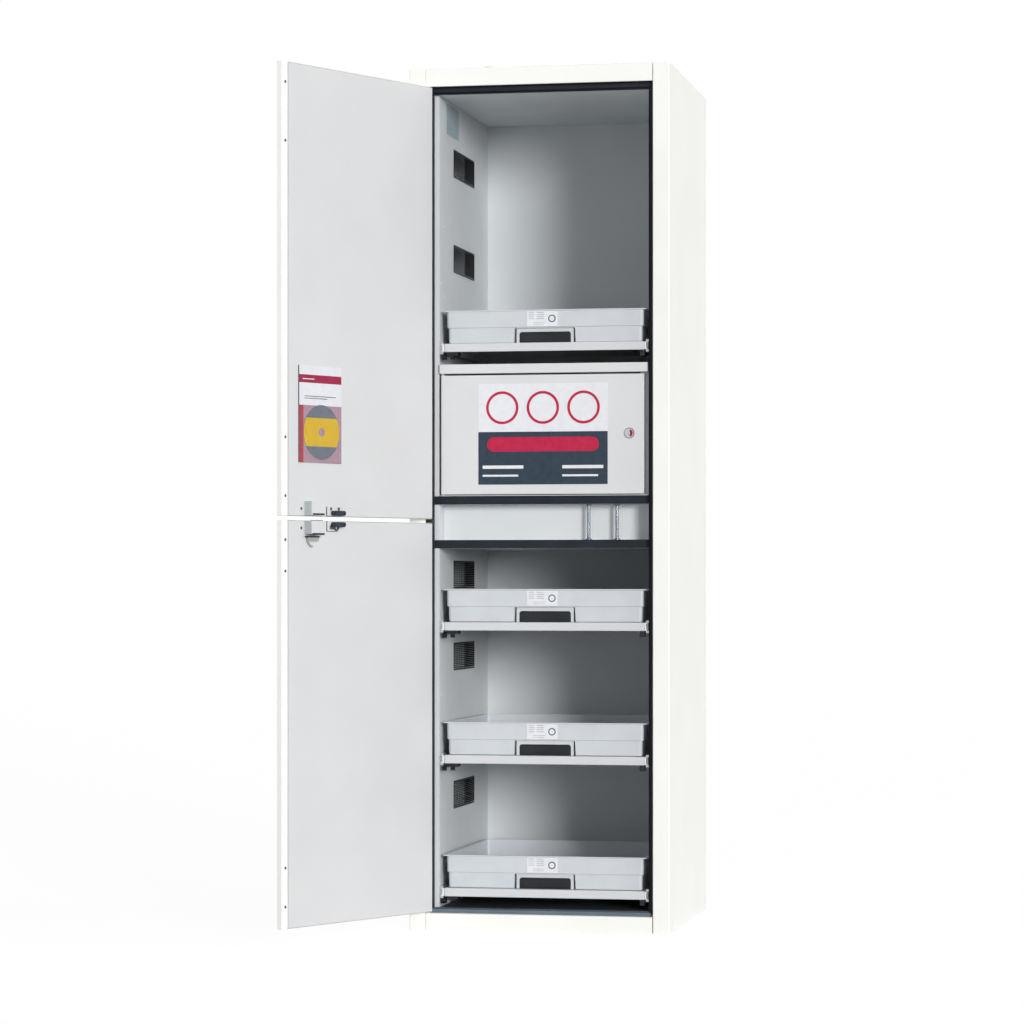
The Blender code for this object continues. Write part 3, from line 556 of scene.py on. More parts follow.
def roof():
    """The roof sheet with its folded front rail between the posts, and the spigot's hole."""
    low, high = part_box("roof_panel")
    spigot_low, spigot_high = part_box("exhaust_spigot")
    between = post_face - front_seam
    path = [
        (front + return_depth, low.z), (front, low.z), (front, high.z), (high.y, high.z),
    ]
    shape = prism(new_shape(), bent_sheet(path, -sheet), "X", -between, between)
    wings = block(
        new_shape(), (low.x, front + post_depth + fit, high.z - sheet), (high.x, high.y, high.z)
    )
    shape = combine(shape, wings, "UNION")
    middle = (spigot_low + spigot_high) / 2
    bore = (spigot_high.x - spigot_low.x) / 2 - spigot_flange
    hole = lathe(
        new_shape(), [(bore, high.z - 2 * sheet), (bore, high.z + sheet)], (middle.x, middle.y, 0),
        steps=48,
    )
    shape = combine(shape, hole)
    piece("roof_sheet", shape, white_coat, root, ["roof_panel"])


def plinth():
    """The plinth sheet, whose top folds back under the floor."""
    low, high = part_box("plinth_panel")
    path = [(front + return_depth, high.z), (front, high.z), (front, low.z)]
    start, end = low.x + front_seam, high.x - front_seam
    shape = prism(new_shape(), bent_sheet(path, sheet), "X", start, end)
    piece("plinth_sheet", shape, white_coat, root, ["plinth_panel"])


def back():
    """The back sheet with shallow pressed fields and its row of screws."""
    low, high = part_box("back_panel")
    depth = 0.0006
    shape = block(new_shape(), low, (high.x, high.y - depth, high.z), 0.0004, 1)
    rise = 0.006
    margin = 0.045
    fields = 3
    corner = 0.02
    pitch = (high.z - low.z - 2 * margin) / fields
    for index in range(fields):
        bottom = low.z + margin + index * pitch + margin / 4
        top = low.z + margin + (index + 1) * pitch - margin / 4
        loops = []
        for inset, lift in ((0, -depth), (rise, 0)):
            outline = flat_loop(
                (low.x + margin + inset, bottom + inset), (high.x - margin - inset, top - inset),
                corner - inset / 2,
            )
            loops.append([(x, high.y - hair + lift, z) for x, z in outline])
        loft(shape, loops)
    piece("back_sheet", shape, white_coat, root, ["back_panel"])
    places = []
    rows = 9
    first_row, from_side = 0.03, 0.012
    for row in range(rows):
        height = low.z + first_row + (high.z - low.z - 2 * first_row) * row / (rows - 1)
        places += [(x, high.y - depth, height) for x in (low.x + from_side, high.x - from_side)]
    screws = screw_heads(new_shape(), places, 0.0038, 0.0005, "Y")
    piece("back_screws", screws, zinc, root)


def spigot():
    """The exhaust spigot: a spun flange with a rolled bead near the rim."""
    low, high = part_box("exhaust_spigot")
    centre = (low + high) / 2
    flange = spigot_flange
    radius = (high.x - low.x) / 2 - flange
    bore = radius - sheet
    flange_low = body_height + fit
    bead_middle = high.z - 0.010
    bead = 0.0014
    profile = [
        (bore, low.z), (radius, low.z), (radius, flange_low), (radius + flange, flange_low),
        (radius + flange, flange_low + sheet), (radius + bead, flange_low + sheet),
        (radius - bead / 2, flange_low + sheet + bead),
    ]
    for step in range(7):
        angle = math.pi * step / 6
        profile.append((
            radius - bead / 2 + bead * math.sin(angle) / 2,
            bead_middle - bead * 1.5 * math.cos(angle),
        ))
    profile += [(radius - bead / 2, high.z), (bore, high.z)]
    shape = lathe(new_shape(), profile + profile[:1], (centre.x, centre.y, 0), steps=48)
    piece("spigot_spun", shape, white_coat, root, ["exhaust_spigot"])
    places = []
    screw_count = 4
    screw_circle = radius + flange * 0.55
    for index in range(screw_count):
        angle = math.tau * (index + 0.5) / screw_count
        places.append((
            centre.x + screw_circle * math.cos(angle), centre.y + screw_circle * math.sin(angle),
            flange_low + sheet,
        ))
    screws = screw_heads(new_shape(), places, 0.003, 0.0012)
    piece("spigot_screws", screws, zinc, root)


def seal():
    """The sealing strip round the opening: a ring whose section has a flat foot, a raised bulb
    and a groove, mitred at the corners."""
    low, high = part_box("door_seal")
    points = [vert.co for vert in frame["nodes"]["door_seal"].data.vertices]
    inner_x = sorted({round(point.x, 5) for point in points})
    inner_z = sorted({round(point.z, 5) for point in points})
    inner_low = (inner_x[1], inner_z[1])
    inner_high = (inner_x[-2], inner_z[-2])
    depth = high.y - low.y
    section = [
        (0.0, 1.0), (0.0, 0.06), (0.02, 0.01), (0.05, 0.0), (0.68, 0.0), (0.73, 0.05),
        (0.77, 0.30), (0.82, 0.36), (0.87, 0.30), (0.90, 0.10), (0.93, 0.05), (0.97, 0.05),
        (1.0, 0.12), (1.0, 1.0),
    ]
    loops = []
    for share, drop in section:
        left = low.x + (inner_low[0] - low.x) * share
        right = high.x + (inner_high[0] - high.x) * share
        bottom = low.z + (inner_low[1] - low.z) * share
        top = high.z + (inner_high[1] - high.z) * share
        y = low.y + depth * drop
        loops.append([(left, y, bottom), (right, y, bottom), (right, y, top), (left, y, top)])
    shape = loft(new_shape(), loops + loops[:1], cap_ends=False)
    bmesh.ops.remove_doubles(shape, verts=shape.verts, dist=hair / 10)
    bmesh.ops.recalc_face_normals(shape, faces=shape.faces)
    made = piece("seal_ring", shape, seal_rubber, root, ["door_seal"])
    # The seal's lower leg takes the lighter slate copy, a painted sheen.
    made.data.materials.append(sill_band_and_painted_sheen)
    for face in made.data.polygons:
        face.material_index = 1 if face.center.z < inner_low[1] else 0
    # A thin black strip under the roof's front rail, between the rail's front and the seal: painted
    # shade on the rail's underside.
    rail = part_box("roof_panel")[0].z
    beside_pin = joints["upper_door_hinge"]["pos_m"][0] + 0.006
    lip = block(
        new_shape(), (beside_pin, front + sheet, high.z + hair / 4),
        (high.x, low.y, rail - hair / 4),
    )
    piece("rail_underside_painted_shade", lip, seal_rubber, root)


floor_low, floor_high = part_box("floor_panel")
carcass_front = floor_low.y
left_face = floor_low.x - fit
right_face = floor_high.x + fit
board = left_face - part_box("lining_left")[0].x
shelf_boxes = [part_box(f"pull_out_{number}_shelf") for number in range(1, 5)]
runner_height = 0.028
runner_wall = 0.0015
runner_width = 0.0095
runner_front = carcass_front + 0.001
shelf_run = 0.500


def runner_section(face, side, centre):
    """The XZ outline of a fixed runner that stands on a wall and opens away from it."""
    inner, tip = face - side * runner_wall, face - side * runner_width
    low, high = centre - runner_height / 2, centre + runner_height / 2
    return [
        (face, low), (tip, low), (tip, low + runner_wall), (inner, low + runner_wall),
        (inner, high - runner_wall), (tip, high - runner_wall), (tip, high), (face, high),
    ]


def side_lining(side):
    """A side board with its vent openings, its fixed runners and the shelf-pin caps."""
    name = "lining_left" if side < 0 else "lining_right"
    low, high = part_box(name)
    face = left_face if side < 0 else right_face
    outer = face + side * board
    shape = block(
        new_shape(), (min(face, outer), low.y, low.z), (max(face, outer), high.y, high.z),
        0.0006, 1,
    )
    if side < 0:
        lap = 0.003
        for number in range(1, 6):
            vent_low, vent_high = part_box(f"vent_grille_{number}")
            opening = block(
                new_shape(), (outer - board, vent_low.y + lap, vent_low.z + lap),
                (face + board, vent_high.y - lap, vent_high.z - lap),
            )
            shape = combine(shape, opening)
    piece(f"{name}_board", shape, grey_board, root, [name])
    runners = new_shape()
    for shelf_low, shelf_high in shelf_boxes:
        centre = (shelf_low.z + shelf_high.z) / 2
        outline = runner_section(face - side * hair, side, centre)
        prism(runners, outline, "Y", runner_front, runner_front + shelf_run)
    piece(f"{name}_fixed_runners", runners, zinc, root)
    if side < 0:
        places = ((-0.227, 1.612), (-0.256, 1.479), (-0.222, 1.452), (-0.252, 0.536), (-0.222, 0.512))
    else:
        places = ((-0.250, 0.347), (-0.250, 0.326), (-0.250, 1.612), (-0.250, 1.452))
    caps = new_shape()
    cap_radius, cap_rise = 0.0034, 0.0009
    for y, z in places:
        lathe(
            caps,
            [(0, side * cap_rise), (cap_radius, side * cap_rise), (cap_radius, -side * cap_rise / 2),
             (cap_radius * 0.7, -side * cap_rise), (0, -side * cap_rise)],
            (face, y, z), "X", 16,
        )
    piece(f"{name}_pin_caps", caps, bracket_plastic, root)


def level_boards():
    """Floor, ceiling, bay and partition boards. The partitions' front edges are banded."""
    for name in ("ceiling_panel", "bay_panel", "lining_back"):
        low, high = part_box(name)
        piece(
            f"{name}_board", block(new_shape(), low, high, 0.0005, 1), grey_board, root,
            [name],
        )
    band = 0.0012
    lap = 0.0105
    bands = new_shape()
    sill = new_shape()
    for name in ("partition_lower", "partition_upper", "floor_panel"):
        low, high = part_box(name)
        on_floor = name == "floor_panel"
        shape = block(new_shape(), (low.x, low.y + band, low.z), high, 0.0003, 1)
        piece(f"{name}_board", shape, dark_board_and_gap_shade if on_floor else grey_board, root, [name])
        strip = sill if on_floor else bands
        block(strip, (low.x, low.y, low.z), (high.x, low.y + band - hair / 2, high.z), band / 2.5, 2)
        if not on_floor:
            for start, end in ((low.x - lap, low.x + hair), (high.x - hair, high.x + lap / 2)):
                block(
                    strip, (start, low.y - 4 * hair, low.z), (end, low.y - hair / 2, high.z),
                    hair, 1,
                )
    piece("partition_edge_bands", bands, edge_band, root)
    piece("floor_sill_band", sill, sill_band_and_painted_sheen, root)


def strike_rods():
    """The two upright bright rods in the bay, each with a small collar at both ends."""
    for number in (1, 2):
        low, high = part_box(f"strike_rod_{number}")
        middle = (low + high) / 2
        radius = (high.x - low.x) / 2
        ease = radius * 0.3
        shape = lathe(
            new_shape(),
            [(0, low.z), (radius - ease, low.z), (radius, low.z + ease), (radius, high.z - ease),
             (radius - ease, high.z), (0, high.z)],
            (middle.x, middle.y, 0), steps=32,
        )
        for height in (low.z, high.z):
            way = 1 if height == low.z else -1
            lathe(
                shape,
                [(radius, height), (radius * 2.1, height), (radius * 2.1, height + way * 0.0012),
                 (radius * 1.2, height + way * 0.003), (radius, height + way * 0.003)],
                (middle.x, middle.y, 0), steps=32,
            )
        # Their darkened steel colour paints the reflection of dark surroundings.
        piece(f"rod_{number}_turned", shape, rod_steel_painted_dark_reflection, root, [f"strike_rod_{number}"])


def grille(number):
    """A vent grille: a frame with a mullion, a mesh in front and hooded vanes behind."""
    low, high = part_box(f"vent_grille_{number}")
    rim = 0.004
    slat_pitch = 0.0043
    slat = 0.0021
    middle = low.y + (high.y - low.y) * 0.52
    shape = new_shape()
    vanes = new_shape()
    depth = high.x - low.x
    face = high.x - 0.0015
    for start, end in (
        ((low.y, low.z), (high.y, low.z + rim)), ((low.y, high.z - rim), (high.y, high.z)),
        ((low.y, low.z), (low.y + rim, high.z)), ((high.y - rim, low.z), (high.y, high.z)),
        ((middle - rim / 2, low.z), (middle + rim / 2, high.z)),
    ):
        block(shape, (low.x, *start), (face, *end), 0.0005, 1)
    count = int((high.z - low.z - 2 * rim) / slat_pitch)
    for index in range(count):
        bottom = low.z + rim + (index + 0.5) * slat_pitch
        block(
            shape, (low.x + depth * 0.2, low.y + rim / 2, bottom),
            (high.x - depth * 0.15, middle, bottom + slat), 0.0003, 1,
        )
        hood = [
            (low.x, bottom), (low.x + depth * 0.2, bottom - slat * 0.4),
            (low.x + depth * 0.5, bottom + slat), (low.x + depth * 0.3, bottom + slat * 1.3),
        ]
        prism(vanes, hood, "Y", middle, high.y - rim / 2)
    bars = 5
    for index in range(bars):
        along = low.y + rim + (middle - low.y - rim * 1.5) * (index + 1) / (bars + 1)
        block(
            shape, (low.x + depth * 0.2, along - slat / 3, low.z + rim / 2),
            (low.x + depth * 0.5, along + slat / 3, high.z - rim / 2),
        )
    piece(f"grille_{number}_louvres", shape, black_abs, root,
          [f"vent_grille_{number}"])
    # The vanes' darker black is painted shade in the grille's rear half.
    piece(f"grille_{number}_vanes", vanes, vane_shade_black, root)


def wall_plate():
    """A foil label on the left wall: plain, with a few light rules and one blank field."""
    low_y, high_y, low_z, high_z = -0.196, -0.062, 1.830, 1.901
    face = left_face + hair
    thickness = 0.0004
    shape = block(new_shape(), (face, low_y, low_z), (face + thickness, high_y, high_z), 0.0002, 1)
    piece("wall_label", shape, plate_blue, root)
    rules = new_shape()
    line = 0.0016
    for row in range(5):
        height = low_z + 0.010 + row * 0.0085
        block(
            rules, (face + thickness, low_y + 0.010, height),
            (face + thickness + hair, high_y - 0.020 - 0.008 * (row % 2), height + line),
        )
    piece("wall_label_rules", rules, ink_grey, root)


def door_turn(name):
    """The matrix that takes a shape drawn on the closed door to where the door stands open."""
    joint = joints[f"{name}_door_hinge"]
    place = Matrix.Translation(Vector((joint["pos_m"][0], joint["pos_m"][1], 0)))
    opened = math.radians(joint["range_deg"][0])
    return place @ Matrix.Rotation(opened, 4, "Z") @ place.inverted()


free_flange = 0.0188
hinge_flange = 0.0006
edge_flange = 0.0006
hinge_ease = 0.0024


def door_shell(name, turn):
    """The door's steel pan with soft folds, its inner liner, and the screws on its edge."""
    body = f"{name}_door"
    pivot = joints[f"{name}_door_hinge"]["pos_m"]
    low, high = corners(f"{name}_door_shell", turn)
    low = Vector((low.x + hinge_ease, low.y, low.z + pin_reach))
    high = Vector((high.x, high.y, high.z - pin_reach))
    shape = block(new_shape(), low, high, 0.0012, 3)
    pocket = block(
        new_shape(), (low.x + hinge_flange, low.y + sheet, low.z + edge_flange),
        (high.x - free_flange, high.y + sheet, high.z - edge_flange),
    )
    shape = combine(shape, pocket)
    pin(shape, pivot, low.z - pin_reach, low.z + edge_flange, 24)
    pin(shape, pivot, high.z - edge_flange, high.z + pin_reach, 24)
    piece(f"{name}_door_pan", shape, white_coat, body, [f"{name}_door_shell"], turn)

    seam = 0.0004
    free_seam = 0.0026
    panel = block(
        new_shape(),
        (low.x + hinge_flange + seam, low.y + sheet + fit, low.z + edge_flange + seam),
        (high.x - free_flange - free_seam, high.y + hair, high.z - edge_flange - seam), 0.0008, 2,
    )
    piece(f"{name}_door_inner_panel", panel, liner_coat, body, [f"{name}_door_liner"], turn)

    edge_x = high.x - free_flange * 0.62
    if name == "upper":
        heights = (1.8776, 1.7504, 1.108, 0.981)
    else:
        heights = (0.8858, 0.8178, 0.1748, 0.0904)
    places = [(edge_x, high.y, z) for z in heights]
    screws = screw_heads(new_shape(), places, 0.0034, 0.0008, "Y")
    piece(f"{name}_door_edge_screws", screws, dark_steel, body, turn=turn)

    plugs = new_shape()
    way = 1 if name == "upper" else -1
    edge_z = low.z if name == "upper" else high.z
    for x in (-0.0044,) if name == "upper" else (-0.0044, 0.116):
        lathe(
            plugs, [(0, -fit), (0.004, -fit), (0.004, hair), (0.003, hair * 2.5), (0, hair * 2.5)],
            (x, high.y, edge_z + way * 0.043), "Y", 20,
        )
    piece(f"{name}_door_hole_plugs", plugs, shelf_coat, body, turn=turn)
    return low, high


def door_handle(name, turn):
    """A bow handle of flat bar with eased edges, on the front of the door."""
    low, high = corners(f"{name}_door_handle", turn)
    strip = 0.005
    foot = 0.014
    face = high.y
    reach = low.y + strip
    rise = (face - reach) / 2
    path = [
        (face, low.z), (face, low.z + foot), (reach, low.z + foot + rise),
        (reach, high.z - foot - rise), (face, high.z - foot), (face, high.z),
    ]
    outer = eased(beside(path, strip), 0.009)
    inner = eased(path, 0.006)
    outline = [tuple(point) for point in inner + outer[::-1]]
    shape = prism(new_shape(), outline, "X", low.x, high.x)
    soften(shape, 0.001)
    piece(f"{name}_door_bow_handle", shape, white_coat, f"{name}_door",
          [f"{name}_door_handle"], turn)


def latch(name, turn, door_low, door_high):
    """The lock case, its black bolt slots, the catch plate and the link arm by the gap between
    the doors. A thin black bar along that gap, the case's grey side and the dark rim round the
    catch plate are painted shade. Heights are measured from that edge into the door."""
    body = f"{name}_door"
    upper = name == "upper"
    way = 1 if upper else -1
    edge = door_low.z if upper else door_high.z
    face = door_high.y
    rise = 0.0015

    def span(first, second):
        return sorted((edge + way * first, edge + way * second))

    low, high = corners(f"{name}_lock_case", turn)
    right = high.x - 0.003
    case_low, case_high = span(0.0016, 0.0325) if upper else span(0.0004, 0.0293)
    housing = block(new_shape(), (low.x, face + fit, case_low), (right, high.y, case_high), 0.0008, 2)
    # The side face of the lock case takes a grey finish that is painted shade.
    side = block(
        new_shape(), (right - rise, face + fit, case_low - hair),
        (right + hair, high.y - rise, case_high + hair), hair, 1,
    )
    piece(f"{name}_lock_housing", housing, liner_coat, body, [f"{name}_lock_case"], turn)
    piece(f"{name}_lock_side", side, lock_side_shade_grey, body, turn=turn)

    slots = new_shape()
    bars = [(low.x, right - 0.002, 0.0024, 0.0064, high.y)]
    if not upper:
        bars = [
            (low.x, right - 0.002, 0.0273, 0.0313, high.y),
            # This thin bar across the door's edge is painted shade of the gap between the doors.
            (low.x + 0.006, right, -0.0006, 0.0006, high.y),
            (right - 0.044, right + 0.001, 0.0338, 0.0368, face + 0.006),
        ]
    for first, last, near, far, depth in bars:
        bottom, top = span(near, far)
        block(slots, (first, depth - 0.004, bottom), (last, depth + fit, top), 0.0004, 1)
    piece(f"{name}_latch_slots_and_gap_shade", slots, black_abs, body, turn=turn)

    if not upper:
        foot_low, foot_high = span(0.0362, 0.0446)
        foot = prism(
            new_shape(), flat_loop((right - 0.043, foot_low), (right - 0.005, foot_high), 0.0036),
            "Y", face + 0.0005, face + 0.005,
        )
        reach, turns = 0.019, 12
        arc = [
            (right - 0.024 + reach * math.cos(math.radians(-88 * step / turns)),
             foot_high - 0.003 + reach * math.sin(math.radians(-88 * step / turns)))
            for step in range(turns + 1)
        ]
        tail = [tuple(point) for point in arc] + [
            tuple(point) for point in beside(arc, -0.0034)[::-1]
        ]
        foot = combine(foot, prism(new_shape(), tail, "Y", face + 0.0008, face + 0.0044), "UNION")
        piece("lower_latch_hook", foot, hook_nylon, body, turn=turn)

    plate_left, plate_right = (0.0635, 0.1128) if upper else (0.0740, 0.1122)
    plate_low, plate_high = span(0.0004, 0.0230 if upper else 0.0233)
    # A dark sheet shows past one side and the bottom of the catch plate: painted shadow of the gap
    # under the plate.
    shade = 0.0013
    shadow_gap_face, plate_face = face + 0.0012, face + 0.0026
    shadow_gap = block(
        new_shape(), (plate_left, face - hair, plate_low),
        (plate_right, shadow_gap_face, plate_high - (shade if upper else 0)), hair, 1,
    )
    piece(f"{name}_catch_painted_shadow_gap", shadow_gap, dark_board_and_gap_shade, body, turn=turn)
    plate = block(
        new_shape(), (plate_left, shadow_gap_face + hair / 2, plate_low + shade),
        (plate_right - shade, plate_face, plate_high), 0.0005, 2,
    )
    piece(f"{name}_catch_plate", plate, liner_coat, body, turn=turn)

    screws = new_shape()
    if upper:
        places = [(x, plate_face, edge + 0.0173) for x in (0.0994, 0.0734)]
        screw_heads(screws, places, 0.0038, 0.0008, "Y")
    else:
        middle = (0.083, edge - 0.0146)
        ring = [
            (0.0042, plate_face), (0.0072, plate_face), (0.0068, face + 0.0062),
            (0.0046, face + 0.0062), (0.0042, plate_face),
        ]
        boss = lathe(new_shape(), ring, (middle[0], 0, middle[1]), "Y", 32)
        block(
            boss, (middle[0] + 0.0066, plate_face, middle[1] - 0.004),
            (middle[0] + 0.021, face + 0.0052, middle[1] + 0.005), 0.0012, 2,
        )
        piece("lower_catch_boss", boss, dark_steel, body, turn=turn)
    screw_heads(screws, [(high.x + 0.0075, face, edge + way * 0.0165)], 0.0034, 0.0009, "Y")
    piece(f"{name}_latch_screws", screws, dark_steel, body, turn=turn)

    arm_low, arm_high = corners(f"{name}_link_arm", turn)
    slim = 0.0045
    radius = (arm_high.z - arm_low.z) / 2
    outline = flat_loop(
        (arm_low.x + slim, arm_low.z), (arm_high.x - slim, arm_high.z), radius * 0.999, 8
    )
    over_screws = face + 0.0037
    arm = prism(new_shape(), outline, "Y", max(arm_low.y, over_screws), arm_high.y)
    soften(arm, 0.0022)
    piece(f"{name}_arm_pill", arm, arm_nylon, f"{name}_arm",
          [f"{name}_link_arm"], turn)
    middle_z = (arm_low.z + arm_high.z) / 2
    rivets = screw_heads(
        new_shape(),
        [(arm_high.x - slim - radius, arm_high.y, middle_z),
         (arm_low.x + slim + radius, arm_high.y, middle_z)],
        0.0034, 0.0007, "Y",
    )
    piece(f"{name}_arm_rivets", rivets, black_abs, f"{name}_arm", turn=turn)


def document_pocket(turn):
    """A clear pocket on the upper door: a white card with a crimson band, and a plain printed
    disc on a mauve card behind the film."""
    low, high = corners("document_pocket", turn)
    face = low.y
    width = high.x - low.x
    height = high.z - low.z
    card_depth = 0.0012
    layer = print_layer
    body = "upper_door"

    def field(name, left, bottom, right, top, depth, material):
        shape = block(
            new_shape(),
            (high.x - width * right, face, low.z + height * bottom),
            (high.x - width * left, face + depth, low.z + height * top), layer / 2, 1,
        )
        return piece(name, shape, material, body, turn=turn)

    edge = 0.045
    card = field("pocket_card", edge, 0.0, 1.0, 1.0, card_depth, soft_card)
    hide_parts("document_pocket")
    # A dark strip along the pocket's edge is painted shadow of the film's raised edge.
    field("pocket_edge_painted_shadow", edge - 0.016, 0.0, edge - hair, 1.0, card_depth, ink_dark)
    field("pocket_crimson_band", edge, 0.823, 1.0, 0.906, card_depth + layer, deep_crimson)
    field("pocket_band_rule", 0.12, 0.857, 0.38, 0.867, card_depth + 2 * layer, soft_card)
    field("pocket_mauve_field", edge + 0.09, 0.0, 1.0, 0.592, card_depth + layer, mauve_card)
    field("pocket_red_spine", edge, 0.0, edge + 0.09, 0.592, card_depth + layer, red_spine)
    for row in range(2):
        field(
            f"pocket_title_rule_{row + 1}", 0.16, 0.682 - row * 0.022, 0.88 - row * 0.2,
            0.689 - row * 0.022, card_depth + layer, ink_dark,
        )

    centre = (high.x - width * 0.543, low.z + height * 0.317)
    radius = 0.060
    hub = 0.0075
    start = face + card_depth + layer
    disc = flat_ring(new_shape(), centre, hub, radius, start, start + layer, 64)
    piece("pocket_disc", disc, disc_grey, body, turn=turn)
    half_band = radius * 0.52
    reach = radius * 0.985
    band = []
    steps = 14
    limit = math.asin(half_band / reach)
    for way in (0, math.pi):
        for step in range(steps + 1):
            angle = way - limit + 2 * limit * step / steps
            band.append((centre[0] + reach * math.cos(angle), centre[1] + reach * math.sin(angle)))
    shape = prism(new_shape(), band, "Y", start + layer, start + layer * 1.6)
    hole = lathe(
        new_shape(), [(hub * 1.3, start - layer), (hub * 1.3, start + 4 * layer)],
        (centre[0], 0, centre[1]), "Y", 32,
    )
    shape = combine(shape, hole)
    piece("pocket_disc_band", shape, disc_yellow, body, turn=turn)
    ring = flat_ring(new_shape(), centre, hub, hub * 1.25, start + layer, start + layer * 1.8, 32)
    piece("pocket_disc_hub", ring, mauve_card, body, turn=turn)

    film = block(
        new_shape(), (low.x, start + 3 * layer, low.z), (high.x, high.y, low.z + height * 0.585),
        layer / 2, 1,
    )
    piece("pocket_film", film, pocket_film, body, turn=turn)


def pivot_bearing():
    """The black block between the doors, in which their inner pins turn."""
    low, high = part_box("pivot_bearing")
    outline = flat_loop((low.x, low.y), (high.x, high.y), 0.0022)
    shape = prism(new_shape(), outline, "Z", low.z, high.z)
    soften(shape, 0.0005, 2)
    piece("bearing_block", shape, black_abs, root, ["pivot_bearing"])


